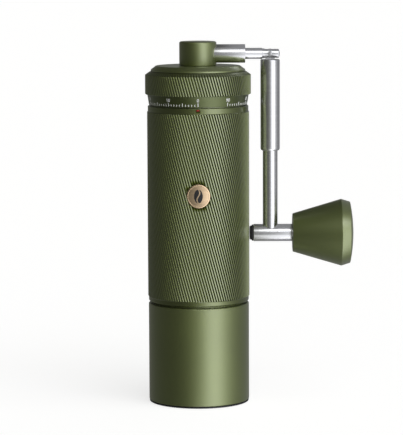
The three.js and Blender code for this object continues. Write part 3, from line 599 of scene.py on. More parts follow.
def body_shell():
    outline = softened([
        (BODY_BORE_R, BODY_BOTTOM), (BODY_RIM_R, BODY_BOTTOM), (BAND_R, BODY_BOTTOM + 0.6),
        (BAND_R, KNURL_BOTTOM - 0.4), (BODY_R, KNURL_BOTTOM), (BODY_R, KNURL_TOP), (BAND_R, KNURL_TOP + 0.4),
        (BAND_R, BODY_TOP - 0.3), (BODY_RIM_R, BODY_TOP), (BODY_BORE_R, BODY_TOP),
    ], 0.12)
    shell = ribbed(outline, BODY_R, 0.05)
    outwards = along_y(0, BADGE_Z) @ Matrix.Rotation(pi, 4, "X")
    pocket = bar(BADGE_R + 0.12, BODY_R - 1.2, BODY_R + 2, MEDIUM, outwards)
    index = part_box("index_mark")
    half, bottom, top = index[1].x / MM + 0.15, index[0].z / MM - 0.1, index[1].z / MM + 0.2
    bm = bmesh.new()
    corners = [(-half, bottom), (half, bottom), (0, top)]
    near, far = ([bm.verts.new(mm(x, -depth, z)) for x, z in corners] for depth in (BODY_R + 2, BODY_R - 1.3))
    prism(bm, near, far)
    return cut(shell, pocket, mesh_from(bm, "notch"))


add_piece("body_shell", body_shell(), "body", "anodised_green", ["outer_shell"], KNURL)
add_piece("badge_disc", badge_mesh(), "body", "badge_brass", ["badge"])
for side, name in ((-1, "left"), (1, "right")):
    add_piece(f"badge_bean_{name}", bean_half(side), "body", "badge_brass", material=INLAY)


# ---------- catch cup ----------

CUP_BORE_R = 24.95
CUP_WALL_R = 23.6  # bore below the step that the steel ring sits on
CUP_STEP = 45.9
CUP_FLOOR = 3
CUP_FILLET = 3
CUP_EDGE = 0.4  # chamfers at the foot and the rim
PAD_SEAT_R = 24.9
PAD_SEAT = 1.5
PAD_PLUG_R = 24.6
PAD_FLANGE = 0.75


def cup_mesh():
    fillet = [
        (CUP_WALL_R - CUP_FILLET + CUP_FILLET * cos(a), CUP_FLOOR + CUP_FILLET - CUP_FILLET * sin(a))
        for a in (pi / 2 * i / 8 for i in range(9))
    ]
    return turned([
        (0, PAD_SEAT), (PAD_SEAT_R, PAD_SEAT), (PAD_SEAT_R, CUP_FOOT), (CUP_R - CUP_EDGE, CUP_FOOT),
        (CUP_R, CUP_FOOT + CUP_EDGE), (CUP_R, CUP_TOP - CUP_EDGE), (CUP_R - CUP_EDGE, CUP_TOP),
        (CUP_BORE_R, CUP_TOP), (CUP_BORE_R, CUP_STEP), (CUP_WALL_R, CUP_STEP), *fillet, (0, CUP_FLOOR),
    ], 0.2)


add_piece("cup_metal", cup_mesh(), "cup", "anodised_green", ["catch_cup"])
pad_outline = [
    (0, PAD_BOTTOM), (PAD_R, PAD_BOTTOM), (PAD_R, PAD_FLANGE), (PAD_PLUG_R, PAD_FLANGE),
    (PAD_PLUG_R, PAD_TOP), (0, PAD_TOP),
]
add_piece("cup_foot_pad", turned(pad_outline, 0.2), "cup", "rubber", ["cup_base_pad"])
add_piece("cup_steel_band", ring(22.4, 24.8, 46, 47.4, FINE), "cup", "inner_steel", ["cup_steel_ring"])


# ---------- dial ----------

TICK_STEP = 3.6  # degrees
TICKS = 91
TICK_LIFT = 0.05
NUMERAL_SIZE = 2.5
NUMERAL_DEPTH = 0.08  # each way from its middle
NUMERAL_BASELINE = DIAL_BOTTOM + 2.75
DIAL_BORE_R = 25.25
DIAL_WEB_R = 20.35  # inside of the web that screws onto the carriage
DIAL_WEB = (169.7, 173.6)
DIAL_MOUTH_R = 25.1  # where the lid drops in
DIAL_GROOVE_R = 25.95  # for the snap ring
DIAL_GROOVE = (162.8, 164.6)


def skirt_r(z):
    """Radius of the dial's numbered skirt at a height."""
    share = (z - DIAL_BOTTOM) / (GRIP_BOTTOM - DIAL_BOTTOM)
    return SKIRT_BOTTOM_R + share * (SKIRT_TOP_R - SKIRT_BOTTOM_R)


def on_skirt(angle, z, lift):
    """A point on the skirt. The angle is in degrees to the left of the front, as the numbers run."""
    radius = skirt_r(z) + lift
    return mm(-radius * sin(radians(angle)), -radius * cos(radians(angle)), z)


def dial_mesh():
    outline = softened([
        (DIAL_BORE_R, DIAL_BOTTOM), (SKIRT_BOTTOM_R, DIAL_BOTTOM), (SKIRT_TOP_R, GRIP_BOTTOM),
        (DIAL_R - 0.3, GRIP_BOTTOM), (DIAL_R, GRIP_BOTTOM + 0.3), (DIAL_R, GRIP_TOP),
        (DIAL_R - 2.6, DIAL_TOP), (DIAL_MOUTH_R, DIAL_TOP), (DIAL_MOUTH_R, DIAL_WEB[1]),
        (DIAL_WEB_R, DIAL_WEB[1]), (DIAL_WEB_R, DIAL_WEB[0]), (DIAL_BORE_R, DIAL_WEB[0]),
        (DIAL_BORE_R, DIAL_GROOVE[1]),
        (DIAL_GROOVE_R, DIAL_GROOVE[1]), (DIAL_GROOVE_R, DIAL_GROOVE[0]), (DIAL_BORE_R, DIAL_GROOVE[0]),
    ], 0.1)
    return ribbed(outline, DIAL_R, 0.1)


def tick_marks():
    """The printed scale: a short mark for each click, and a longer one at each fifth."""
    bm = bmesh.new()
    for tick in range(TICKS):
        angle = tick * TICK_STEP
        height, half = (1.85, 0.5) if tick % 5 == 0 else (1.1, 0.46)
        bottom = DIAL_BOTTOM + 0.35
        back, front = (
            [bm.verts.new(on_skirt(angle + side * half, bottom + rise * height, lift))
             for side, rise in ((-1, 0), (1, 0), (1, 1), (-1, 1))]
            for lift in (-0.1, TICK_LIFT)
        )
        prism(bm, back, front)
    return mesh_from(bm, "ticks")


def numeral(text):
    """The outline font's mesh for a few digits, centred on X, with its baseline at 0 (in mm)."""
    curve = bpy.data.curves.new("numeral", "FONT")
    curve.body = text
    curve.size = NUMERAL_SIZE
    curve.align_x = "CENTER"
    curve.extrude = NUMERAL_DEPTH
    curve.offset = 0.035
    shaped = placed("numeral", curve)
    mesh = bpy.data.meshes.new_from_object(shaped.evaluated_get(bpy.context.evaluated_depsgraph_get()))
    bpy.data.objects.remove(shaped)
    return mesh


def dial_numerals():
    """Numbers from 0 at the front, rising to the left, one for each tenth mark."""
    bm = bmesh.new()
    for tens in range(10):
        mesh = numeral(str(10 * tens))
        first = len(bm.verts)
        bm.from_mesh(mesh)
        bm.verts.ensure_lookup_table()
        for vert in bm.verts[first:]:
            x, y, depth = vert.co
            z = NUMERAL_BASELINE + y
            angle = 10 * tens * TICK_STEP - degrees(x / skirt_r(z))
            vert.co = on_skirt(angle, z, TICK_LIFT - NUMERAL_DEPTH + depth)
    bmesh.ops.remove_doubles(bm, verts=bm.verts, dist=1e-7)
    return mesh_from(bm, "numerals")


dial = add_piece("dial_ring", dial_mesh(), "dial", "anodised_green", ["grind_dial"], KNURL)
# The skirt below the grip is smooth, and darkened with painted shade.
dial.data.materials.append(SHADED_GREEN)
for face in dial.data.polygons:
    if face.center.z < (GRIP_BOTTOM - 0.01) * MM:
        face.material_index = 1
add_piece("dial_ticks", tick_marks(), "dial", "anodised_green", material=PRINT)
add_piece("dial_numerals", dial_numerals(), "dial", "anodised_green", material=PRINT)


# ---------- lid and crank hub ----------

LID_SPIGOT_R = 24.6
LID_SPIGOT_BORE_R = 22.6
LID_SHOULDER = DIAL_TOP + 0.15
LID_ROOF = 179.6
LID_BORE_R = 9.2
GASKET_FLOOR_R = 23.7
GASKET_GROOVE = (175.6, 177.2)
HUB_BOTTOM = LID_TOP + 0.2
HUB_NECK_R = 8
HUB_SOCKET_R = 6
HUB_SOCKET_TOP = 191.8
HUB_GROOVE_R = 7.4
HUB_GROOVE = (177.9, 178.9)
HUB_BEVEL = 0.6


def lid_mesh():
    return turned([
        (LID_SPIGOT_BORE_R, LID_BOTTOM), (LID_SPIGOT_R, LID_BOTTOM), (LID_SPIGOT_R, GASKET_GROOVE[0]),
        (GASKET_FLOOR_R, GASKET_GROOVE[0]), (GASKET_FLOOR_R, GASKET_GROOVE[1]),
        (LID_SPIGOT_R, GASKET_GROOVE[1]), (LID_SPIGOT_R, LID_SHOULDER), (LID_R, LID_SHOULDER),
        (LID_R, LID_TOP - 2), (22.7, LID_TOP),
        (LID_BORE_R, LID_TOP), (LID_BORE_R, LID_ROOF), (LID_SPIGOT_BORE_R, LID_ROOF),
    ], 0.18)


def hub_mesh():
    blank = turned([
        (0, HUB_SOCKET_TOP), (HUB_SOCKET_R, HUB_SOCKET_TOP), (HUB_SOCKET_R, HUB_NECK_BOTTOM),
        (HUB_NECK_R, HUB_NECK_BOTTOM), (HUB_NECK_R, HUB_GROOVE[0]), (HUB_GROOVE_R, HUB_GROOVE[0]),
        (HUB_GROOVE_R, HUB_GROOVE[1]), (HUB_NECK_R, HUB_GROOVE[1]), (HUB_NECK_R, HUB_BOTTOM),
        (HUB_R, HUB_BOTTOM), (HUB_R, HUB_TOP - HUB_BEVEL), (HUB_R - HUB_BEVEL, HUB_TOP), (0, HUB_TOP),
    ], 0.25)
    stud = bar(COLLAR_R - 1.8, 4, 9, SMALL, along_x(ARM_AXIS_Z))
    seat = bar(COLLAR_R + 0.05, 7.7, 12, MEDIUM, along_x(ARM_AXIS_Z))
    return cut(blank, stud, seat)


add_piece("lid_top", lid_mesh(), "lid", "anodised_green", ["lid_plate"])
add_piece("lid_seal", ring(23.8, 24.85, 175.7, 177.1, FINE, 0.3), "lid", "silicone", ["lid_gasket"])
add_piece("lid_bushing", ring(8.1, 9.05, 179.7, 182), "lid", "bush_polymer", ["lid_bush"])
add_piece("hub_cap", hub_mesh(), "crank", "anodised_green", ["crank_hub"])


# ---------- crank neck with its fork, hinge pin ----------

FORK_R = 2.65
NECK_R = 3
PIN_R = 1.2
FORK_REACH = NECK_END_X - PIVOT_X
COLLAR_END_X = 25.4
FORK_START_X = 34.6
FORK_SLOT = 2.5
COLLAR_START_X = 8


def neck_mesh():
    ball = [(FORK_REACH * sin(a), PIVOT_X + FORK_REACH * cos(a))
            for a in (asin(FORK_R / FORK_REACH) * (1 - i / 8) for i in range(9))]
    blank = turned([
        (0, NECK_START_X), (NECK_R, NECK_START_X), (NECK_R, COLLAR_START_X),
        (COLLAR_R, COLLAR_START_X), (COLLAR_R, COLLAR_END_X),
        (NECK_R, COLLAR_END_X), (NECK_R, FORK_START_X), (FORK_R, FORK_START_X), *ball,
    ], 0.22, MEDIUM, along_x(ARM_AXIS_Z))
    slot = block(PIVOT_X - 3, PIVOT_X + 10, -FORK_SLOT / 2, FORK_SLOT / 2, ARM_AXIS_Z - 10, ARM_AXIS_Z + 10)
    hole = bar(PIN_R + 0.05, -10, 10, SMALL, along_y(PIVOT_X, ARM_AXIS_Z))
    return cut(blank, slot, hole)


add_piece("neck_bar", neck_mesh(), "crank", "arm_steel", ["crank_neck"])
pin = bar(PIN_R, -2.72, 2.72, SMALL, along_y(PIVOT_X, ARM_AXIS_Z), 0.3)
add_piece("fork_pin", pin, "crank", "arm_steel", ["hinge_pin"])


# ---------- arm: rod with its tongue and cross tube, sleeve, spring, bumper ----------

ROD_R = 4
CORE_R = 2.65
SHOULDER = ARM_AXIS_Z - 28
WAIST = ARM_AXIS_Z - 5.8  # where the core ends in the tongue
TONGUE_HALF = 1.05
TONGUE_R = 2.5
PLUG_BORE_R = 3.1
PLUG_BORE_END_X = TUBE_START_X + 3.2
AXLE_BORE_R = 3
AXLE_BORE_X = TUBE_START_X + 6.2
UPRIGHT = Matrix.Translation((PIVOT_X, 0, 0))


def arm_mesh():
    """Rod, tongue and cross tube, silver-soldered into one piece."""
    rod = turned([
        (0, KNOB_AXIS_Z), (ROD_R, KNOB_AXIS_Z), (ROD_R, SHOULDER), (CORE_R, SHOULDER), (CORE_R, WAIST - 0.4),
        (CORE_R - 0.4, WAIST), (0, WAIST),
    ], sides=MEDIUM, place=UPRIGHT)
    flat = block(PIVOT_X - TONGUE_R, PIVOT_X + TONGUE_R, -TONGUE_HALF, TONGUE_HALF, WAIST - 0.7, ARM_AXIS_Z)
    tongue = join(flat, bar(TONGUE_R, -TONGUE_HALF, TONGUE_HALF, MEDIUM, along_y(PIVOT_X, ARM_AXIS_Z)))
    tongue = common(tongue, bar(CORE_R, WAIST - 1, ARM_AXIS_Z + 3, MEDIUM, UPRIGHT))
    tube = turned([
        (0, PLUG_BORE_END_X), (PLUG_BORE_R, PLUG_BORE_END_X), (PLUG_BORE_R, TUBE_START_X),
        (TUBE_R, TUBE_START_X), (TUBE_R, TUBE_END_X), (AXLE_BORE_R, TUBE_END_X),
        (AXLE_BORE_R, AXLE_BORE_X), (0, AXLE_BORE_X),
    ], 0.3, MEDIUM, along_x(KNOB_AXIS_Z))
    bore = bar(PLUG_BORE_R, TUBE_START_X - 1, PLUG_BORE_END_X, SMALL, along_x(KNOB_AXIS_Z))
    axle_bore = bar(AXLE_BORE_R, AXLE_BORE_X, TUBE_END_X + 1, SMALL, along_x(KNOB_AXIS_Z))
    hole = bar(PIN_R + 0.1, -5, 5, SMALL, along_y(PIVOT_X, ARM_AXIS_Z))
    return cut(join(rod, tongue, tube), bore, axle_bore, hole)


def sleeve_mesh():
    bore = ROD_R + 0.15
    lip = 3.1  # radius of the narrow part that the spring pushes on
    low, top = SLEEVE_BOTTOM, SLEEVE_TOP
    return turned([
        (bore, low), (4.35, low), (4.95, low + 0.35), (SLEEVE_R, low + 1.1), (SLEEVE_R, top - 0.35),
        (SLEEVE_R - 0.3, top), (4.75, top), (bore, top - 0.8), (bore, top - 2.5), (lip, top - 2.5),
        (lip, top - 5.5), (bore, top - 5.5),
    ], 0.12, MEDIUM, UPRIGHT)


def bumper_mesh():
    return turned([
        (0, BUMPER_START_X), (3.4, BUMPER_START_X), (3.8, BUMPER_START_X + 0.35), (3.8, BUMPER_START_X + 1),
        (BUMPER_R, BUMPER_START_X + 1.2), (BUMPER_R, TUBE_START_X - 0.1), (2.9, TUBE_START_X - 0.1),
        (2.9, BUMPER_END_X), (0, BUMPER_END_X),
    ], 0.2, MEDIUM, along_x(KNOB_AXIS_Z))


add_piece("arm_bar", arm_mesh(), "arm", "arm_steel", ["arm_rod", "axle_tube"])
add_piece("sleeve_tube", sleeve_mesh(), "sleeve", "arm_steel", ["locking_sleeve"])
add_piece("bumper_plug", bumper_mesh(), "arm", "rubber", ["arm_bumper"])

SPRING_R, SPRING_BOTTOM, SPRING_TOP = span("sleeve_spring")
sleeve_coil = coil(SPRING_R - 0.32, 0.3, SPRING_BOTTOM, SPRING_TOP, 9, PIVOT_X)
sleeve_coil = add_piece("sleeve_coil", sleeve_coil, "arm", "spring_steel", ["sleeve_spring"])
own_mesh(sleeve_coil)


# ---------- knob ----------

KNOB_SMALL_R = 10.35
KNOB_RIM_X = 77.2
KNOB_BEVEL_X = 82
KNOB_BEVEL_R = 16.6
KNOB_TIP_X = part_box("knob_cap")[1].x / MM
CAP_R = span("knob_cap")[0]
KNOB_BORE_R = 4.6
KNOB_RECESS_X = 77.6
BUSH_R = 4.45
BUSH_BORE_R = 2.65


def dome_x(radius):
    """Where the knob's shallow domed end lies at a radius."""
    return KNOB_TIP_X - (KNOB_TIP_X - KNOB_BEVEL_X) * (radius / KNOB_BEVEL_R) ** 2


def dome(outer, inner, steps=8):
    radii = (outer + (inner - outer) * i / steps for i in range(steps + 1))
    return [(radius, dome_x(radius)) for radius in radii]


def knob_mesh():
    recess = CAP_R + 0.12
    return turned([
        (KNOB_BORE_R, KNOB_START_X), (KNOB_SMALL_R, KNOB_START_X), (KNOB_R, KNOB_RIM_X),
        (KNOB_BEVEL_R, KNOB_BEVEL_X), (recess, dome_x(recess)), (recess, KNOB_RECESS_X),
        (KNOB_BORE_R, KNOB_RECESS_X),
    ], 0.3, place=along_x(KNOB_AXIS_Z))


def knob_end_mesh():
    rim, roof = KNOB_RECESS_X + 0.3, KNOB_RECESS_X + 2
    shell = [(0, roof), (CAP_R - 2, roof), (CAP_R - 2, rim), (CAP_R, rim)]
    return revolved(shell + dome(CAP_R, 0), FINE, along_x(KNOB_AXIS_Z))


add_piece("knob_cone", knob_mesh(), "knob", "anodised_green", ["knob_shell"])
add_piece("knob_end", knob_end_mesh(), "knob", "anodised_green", ["knob_cap"])
for node, name in (("knob_bush_inner", "knob_sleeve_near"), ("knob_bush_outer", "knob_sleeve_far")):
    _, start, end = span_x(node)
    bush = [(BUSH_BORE_R, start), (BUSH_R, start), (BUSH_R, end), (BUSH_BORE_R, end)]
    bush = turned(bush, sides=SMALL, place=along_x(KNOB_AXIS_Z))
    add_piece(name, bush, "knob", "bush_polymer", [node])


# ---------- burr carrier, burrs and lower bearing ----------

CARRIER_BOTTOM = 48
CARRIER_TOP = 75.5
CARRIER_R = 25
CARRIER_SPIGOT_R = 24.6
FUNNEL_TOP_R = 24.4
THROAT_R = 19.8
THROAT_TOP = 69.5
SEAT_OUTER_R = 10.6
SEAT_LIP_R = 6.8
SPOKE_HALF_WIDTH = 2.25
SPOKE_ANGLES = (0, 120, 240)
MAGNET_CIRCLE_R = 23.1
MAGNET_ANGLES = (45, 135, 225, 315)
MAGNET_TOP = 52.1
RING_BURR_R = 21.1
RING_MOUTH_R = 17.9  # coffee leaves between the burrs' mouths, at the bottom
RING_FEED_R = 13.4
RING_BOTTOM = 50.4
RING_TOP = 66.2
CONE_BORE_R = 4.2
CONE_MOUTH_R = 17.4
CONE_FEED_R = 9.4
CONE_BOTTOM = 50.7
CONE_TOP = 68.1
TEETH = 10
BURR_TWIST = 0.035  # radians of lead in each mm of height


def bearing_seat(bearing, top_extra):
    radius, bottom, top = bearing
    bore, lip = radius + 0.1, bottom - 1.3
    return turned([
        (SEAT_LIP_R, lip), (SEAT_OUTER_R, lip), (SEAT_OUTER_R, top + top_extra), (bore, top + top_extra),
        (bore, bottom - 0.1), (SEAT_LIP_R, bottom - 0.1),
    ], sides=MEDIUM)


def spokes(outer, bottom, top, first_angle):
    half = SPOKE_HALF_WIDTH
    angles = (first_angle + step for step in SPOKE_ANGLES)
    return [block(SEAT_OUTER_R - 0.8, outer, -half, half, bottom, top, angle) for angle in angles]


def carrier_mesh():
    bore, ledge = RING_BURR_R + 0.15, RING_TOP + 0.2
    wall = turned([
        (bore, CARRIER_BOTTOM), (CARRIER_SPIGOT_R, CARRIER_BOTTOM), (CARRIER_SPIGOT_R, BODY_BOTTOM),
        (CARRIER_R, BODY_BOTTOM + 0.3), (CARRIER_R, CARRIER_TOP), (FUNNEL_TOP_R, CARRIER_TOP),
        (THROAT_R, THROAT_TOP), (THROAT_R, ledge), (bore, ledge),
    ], 0.3)
    whole = join(wall, bearing_seat(LOWER_BEARING, 1.4), *spokes(23, 70, 74.5, 30))
    pocket = bar(1.5, CARRIER_BOTTOM - 1, MAGNET_TOP + 0.2, TINY, Matrix.Translation((MAGNET_CIRCLE_R, 0, 0)))
    return cut(whole, *(turned_about_z(pocket.copy(), angle) for angle in MAGNET_ANGLES))


def burr_mesh(outline, direction, is_working_face):
    """A turned burr with twisted saw teeth on its working face. direction is 1 for teeth cut outwards."""
    samples = 12
    sides = TEETH * samples
    rows = []
    for radius, z in subdivided(outline, 1.2):
        # The teeth are fine at the mouth and grow towards the feed.
        depth = 0.35 + 1.8 * max(0, (z - 55) / 11) if is_working_face(radius) else 0
        row = []
        for i in range(sides):
            angle = 2 * pi * i / sides
            phase = TEETH * (angle - direction * BURR_TWIST * z) / (2 * pi)
            reach = radius + direction * depth * abs(2 * (phase - floor(phase)) - 1)
            row.append(mm(reach * cos(angle), reach * sin(angle), z))
        rows.append(row)
    return skinned(rows, "burr")


def smooth_line(start, end, bow, steps=8):
    """Points from start to end along a shallow curve that bows outwards by bow."""
    points = []
    for i in range(steps + 1):
        t = i / steps
        points.append(Vector(start).lerp(Vector(end), t) + Vector((bow * sin(pi * t), 0)))
    return points


ring_face = smooth_line((RING_FEED_R, RING_TOP), (RING_MOUTH_R, RING_BOTTOM), 0.15)
ring_burr = burr_mesh(
    [(RING_MOUTH_R, RING_BOTTOM), (RING_BURR_R, RING_BOTTOM), (RING_BURR_R, RING_TOP)] + ring_face[:-1],
    1, lambda radius: radius < RING_MOUTH_R + 0.2)
cone_face = smooth_line((CONE_MOUTH_R, CONE_BOTTOM), (CONE_FEED_R, CONE_TOP), 0.9)
cone_burr = burr_mesh(
    [(CONE_BORE_R, CONE_BOTTOM)] + cone_face + [(CONE_BORE_R, CONE_TOP)],
    -1, lambda radius: radius > CONE_BORE_R + 0.8)
add_piece("carrier_frame", carrier_mesh(), "body", "anodised_green", ["burr_carrier"])
add_piece("ring_burr_teeth", ring_burr, "body", "burr_steel", ["ring_burr"])
add_piece("cone_burr_teeth", cone_burr, "shaft", "burr_steel", ["cone_burr"])
notch = block(-1.2, 1.2, 17, RING_BURR_R + 1, CARRIER_BOTTOM - 1, CARRIER_BOTTOM + 1.4)
retainer = ring(18.9, RING_BURR_R, CARRIER_BOTTOM + 0.2, RING_BOTTOM - 0.3, FINE)
retainer = cut(retainer, copied(notch, OPPOSITE))
add_piece("burr_lock_ring", retainer, "body", "inner_steel", ["ring_burr_retainer"])
for i, angle in enumerate(MAGNET_ANGLES):
    magnet = bar(1.3, CARRIER_BOTTOM + 0.1, MAGNET_TOP, 32, Matrix.Translation((MAGNET_CIRCLE_R, 0, 0)), 0.2)
    turned_about_z(magnet, angle)
    add_piece(f"magnet_disc_{i + 1}", magnet, "body", "magnet", [f"cup_magnet_{i + 1}"])


# ---------- ball bearings ----------

BALL_CIRCLE_R = 6.05
BALL_R = 1
BALLS = 6
CAGE_HALF = (0.3, 0.8)  # half its thickness and half its height
OUTER_RACE_R = 6.9
INNER_RACE_R = 5.2
RACE_BORE_R = 4.1
GROOVE = [(0.4 * cos(a), 1.1 * sin(a)) for a in (pi * (0.5 - i / 8) for i in range(9))]  # depth and height


def balls_mesh(bearing):
    _, bottom, top = bearing
    middle = (bottom + top) / 2
    thick, high = CAGE_HALF
    cage = ring(BALL_CIRCLE_R - thick, BALL_CIRCLE_R + thick, middle - high, middle + high)
    bm = bmesh.new()
    for i in range(BALLS):
        angle = 2 * pi * i / BALLS
        place = Matrix.Translation(mm(BALL_CIRCLE_R * cos(angle), BALL_CIRCLE_R * sin(angle), middle))
        bmesh.ops.create_icosphere(bm, subdivisions=3, radius=BALL_R * MM, matrix=place)
    return join(cage, mesh_from(bm, "balls"))


def race_meshes(bearing):
    outer_r, bottom, top = bearing
    middle = (bottom + top) / 2
    outer = [(OUTER_RACE_R, bottom), (outer_r, bottom), (outer_r, top), (OUTER_RACE_R, top)]
    outer += [(OUTER_RACE_R + depth, middle + rise) for depth, rise in GROOVE]
    inner = [(RACE_BORE_R, bottom), (INNER_RACE_R, bottom)]
    inner += [(INNER_RACE_R - depth, middle - rise) for depth, rise in GROOVE]
    inner += [(INNER_RACE_R, top), (RACE_BORE_R, top)]
    return revolved(outer, MEDIUM), revolved(inner, MEDIUM)


for place, bearing, outer_body, inner_body in (
    ("lower", LOWER_BEARING, "body", "lower_race"),
    ("upper", UPPER_BEARING, "carriage", "shaft"),
):
    outer, inner = race_meshes(bearing)
    add_piece(f"{place}_race_outside", outer, outer_body, "inner_steel", [f"{place}_bearing_outer_race"])
    add_piece(f"{place}_race_inside", inner, inner_body, "inner_steel", [f"{place}_bearing_inner_race"])
    add_piece(f"{place}_ball_set", balls_mesh(bearing), f"{place}_balls", "inner_steel",
              [f"{place}_bearing_balls"], STEEL)


# ---------- guide sleeve, bearing carriage, shaft ----------

GUIDE_R = 25
GUIDE_BORE_R = 20.9
GUIDE_BOTTOM = 146
GUIDE_TOP = 169.2
GUIDE_GROOVE_R = 24.3
GUIDE_GROOVE = (162.9, 164.5)
DETENT_CIRCLE_R = 22.9
DETENT_BALL_R = 1.2
KEY_Z = 152.5
CARRIAGE_R = 20.6
CARRIAGE_BORE_R = 18.4
CARRIAGE_BOTTOM = 149
CARRIAGE_TOP = 175.4
THREAD_R = 20.05
THREAD_BOTTOM = 169.2
THREAD_DEPTH = 0.35
THREAD_PITCH = 1.5
SHAFT_R = 3.95
SHAFT_BOTTOM = 51
SCREW_HOLE_R = 2.25
SCREW_HOLE_TOP = 61
SCREW_R = 2
SCREW_HEAD_R = 3.6
SCREW_HEAD_TOP = 49.4
FLANGE_R = 5.4
FLANGE = (68.3, 69.2)
HEX_BOTTOM = 172
HEX_TOP = 185.6
HEX_FLATS = 7


def guide_mesh():
    sleeve = turned([
        (GUIDE_BORE_R, GUIDE_BOTTOM), (GUIDE_R, GUIDE_BOTTOM), (GUIDE_R, GUIDE_GROOVE[0]),
        (GUIDE_GROOVE_R, GUIDE_GROOVE[0]), (GUIDE_GROOVE_R, GUIDE_GROOVE[1]), (GUIDE_R, GUIDE_GROOVE[1]),
        (GUIDE_R, GUIDE_TOP), (GUIDE_BORE_R, GUIDE_TOP),
    ], 0.15)
    well = bar(DETENT_BALL_R + 0.2, 160.8, GUIDE_TOP + 0.8, TINY, Matrix.Translation((DETENT_CIRCLE_R, 0, 0)))
    key_hole = bar(1.1, -GUIDE_R - 1, GUIDE_R + 1, TINY, along_y(0, KEY_Z))
    return cut(sleeve, copied(well, OPPOSITE), key_hole)


def carriage_mesh():
    threads = []
    for turn in range(4):
        z = THREAD_BOTTOM + turn * THREAD_PITCH
        threads += [(THREAD_R, z), (THREAD_R - THREAD_DEPTH, z + THREAD_PITCH / 2)]
    wall = turned([
        (CARRIAGE_BORE_R, CARRIAGE_BOTTOM), (CARRIAGE_R, CARRIAGE_BOTTOM), (CARRIAGE_R, THREAD_BOTTOM - 1),
        (THREAD_R, THREAD_BOTTOM - 0.4), *threads, (THREAD_R, CARRIAGE_TOP - 0.5), (THREAD_R, CARRIAGE_TOP),
        (CARRIAGE_BORE_R, CARRIAGE_TOP),
    ], 0.2)
    whole = join(wall, bearing_seat(UPPER_BEARING, 2), *spokes(19.4, 150, 155.5, 90))
    keyway = block(-1.3, 1.3, 19.2, 22, CARRIAGE_BOTTOM - 1, KEY_Z + 4)
    return cut(whole, copied(keyway, OPPOSITE))


def hexagon(across_flats, bottom, top):
    return bar(across_flats / sqrt(3), bottom, top, 6)


def shaft_mesh():
    round_bar = turned([
        (0, SCREW_HOLE_TOP), (SCREW_HOLE_R, SCREW_HOLE_TOP), (SCREW_HOLE_R, SHAFT_BOTTOM),
        (SHAFT_R, SHAFT_BOTTOM), (SHAFT_R, FLANGE[0]), (FLANGE_R, FLANGE[0]), (FLANGE_R, FLANGE[1]),
        (SHAFT_R, FLANGE[1]),
        (SHAFT_R, HEX_BOTTOM + 0.5), (3.2, HEX_BOTTOM + 1), (0, HEX_BOTTOM + 1),
    ], sides=SMALL)
    nose = revolved([
        (0, HEX_BOTTOM - 1), (6, HEX_BOTTOM - 1), (6, HEX_TOP - 1.6), (3.4, HEX_TOP + 0.1),
        (0, HEX_TOP + 0.1),
    ], SMALL)
    return join(round_bar, common(hexagon(HEX_FLATS, HEX_BOTTOM, HEX_TOP), nose))


def clip_mesh(inner, outer, bottom, top, opening):
    """A flat ring of spring steel, open at the back."""
    gap = block(-opening / 2, opening / 2, 0, outer + 1, bottom - 1, top + 1)
    return cut(ring(inner, outer, bottom, top, MEDIUM, 0.08), gap)


add_piece("guide_tube", guide_mesh(), "body", "anodised_green", ["guide_sleeve"])
add_piece("carriage_frame", carriage_mesh(), "carriage", "machined_aluminium", ["bearing_carriage"])
add_piece("shaft_bar", shaft_mesh(), "shaft", "inner_steel", ["drive_shaft"])
CLIPS = (
    ("dial_wire_ring", "body", "dial_snap_ring", 24.5, 5),
    ("seat_clip", "carriage", "bearing_circlip", 6.9, 3),
    ("shaft_clip_top", "shaft", "shaft_clip_above_bearing", 4.1, 4),
    ("shaft_clip_low", "shaft", "shaft_clip_below_bearing", 4.1, 4),
    ("spring_stop_clip", "shaft", "preload_spring_clip", 4.1, 4),
    ("hub_clip", "crank", "hub_circlip", 7.5, 4),
)
for name, body, node, inner, opening in CLIPS:
    _, bottom, top = span(node)
    low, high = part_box(node)
    outer = max(high.y, -low.y, high.x) / MM
    add_piece(name, clip_mesh(inner, outer, bottom, top, opening), body, "spring_steel", [node])

_, bottom, top = span("cone_burr_washer")
add_piece("burr_washer", ring(SCREW_HOLE_R, 7.4, bottom, top), "shaft", "inner_steel", ["cone_burr_washer"])
_, bottom, top = span("cone_burr_screw")
screw = turned([
    (0, bottom), (SCREW_HEAD_R, bottom), (SCREW_HEAD_R, SCREW_HEAD_TOP), (SCREW_R, SCREW_HEAD_TOP),
    (SCREW_R, top), (0, top),
], 0.3, SMALL)
screw = cut(screw, hexagon(3, bottom - 1, bottom + 2.1))
add_piece("burr_cap_screw", screw, "shaft", "inner_steel", ["cone_burr_screw"])

_, bottom, top = span("preload_spring")
preload = coil(4.75, 0.4, bottom, top, 9)
preload = add_piece("preload_coil", preload, "lower_race", "spring_steel", ["preload_spring"])
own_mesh(preload)

_, bottom, top = span("hub_drive_insert")
insert = cut(bar(5.85, bottom, top, edge=0.2), hexagon(HEX_FLATS + 0.5, bottom - 1, HEX_TOP + 1.4))
add_piece("drive_socket", insert, "crank", "inner_steel", ["hub_drive_insert"])

for i, angle in enumerate(OPPOSITE):
    low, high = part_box(f"detent_ball_{i + 1}")
    bm = bmesh.new()
    place = Matrix.Translation((low + high) / 2)
    bmesh.ops.create_icosphere(bm, subdivisions=3, radius=DETENT_BALL_R * MM, matrix=place)
    add_piece(f"click_ball_{i + 1}", mesh_from(bm, "ball"), "body", "inner_steel", [f"detent_ball_{i + 1}"])
    wire = turned_about_z(coil(0.85, 0.2, 161, 167, 6, DETENT_CIRCLE_R, 8, 16), angle)
    add_piece(f"click_coil_{i + 1}", wire, "body", "spring_steel", [f"detent_spring_{i + 1}"])
    key = turned_about_z(bar(1, 19.4, GUIDE_R - 0.2, TINY, along_y(0, KEY_Z), 0.15), angle)
    add_piece(f"key_pin_{i + 1}", key, "body", "inner_steel", [f"carriage_key_{i + 1}"])


# ---------- floor, light and camera ----------


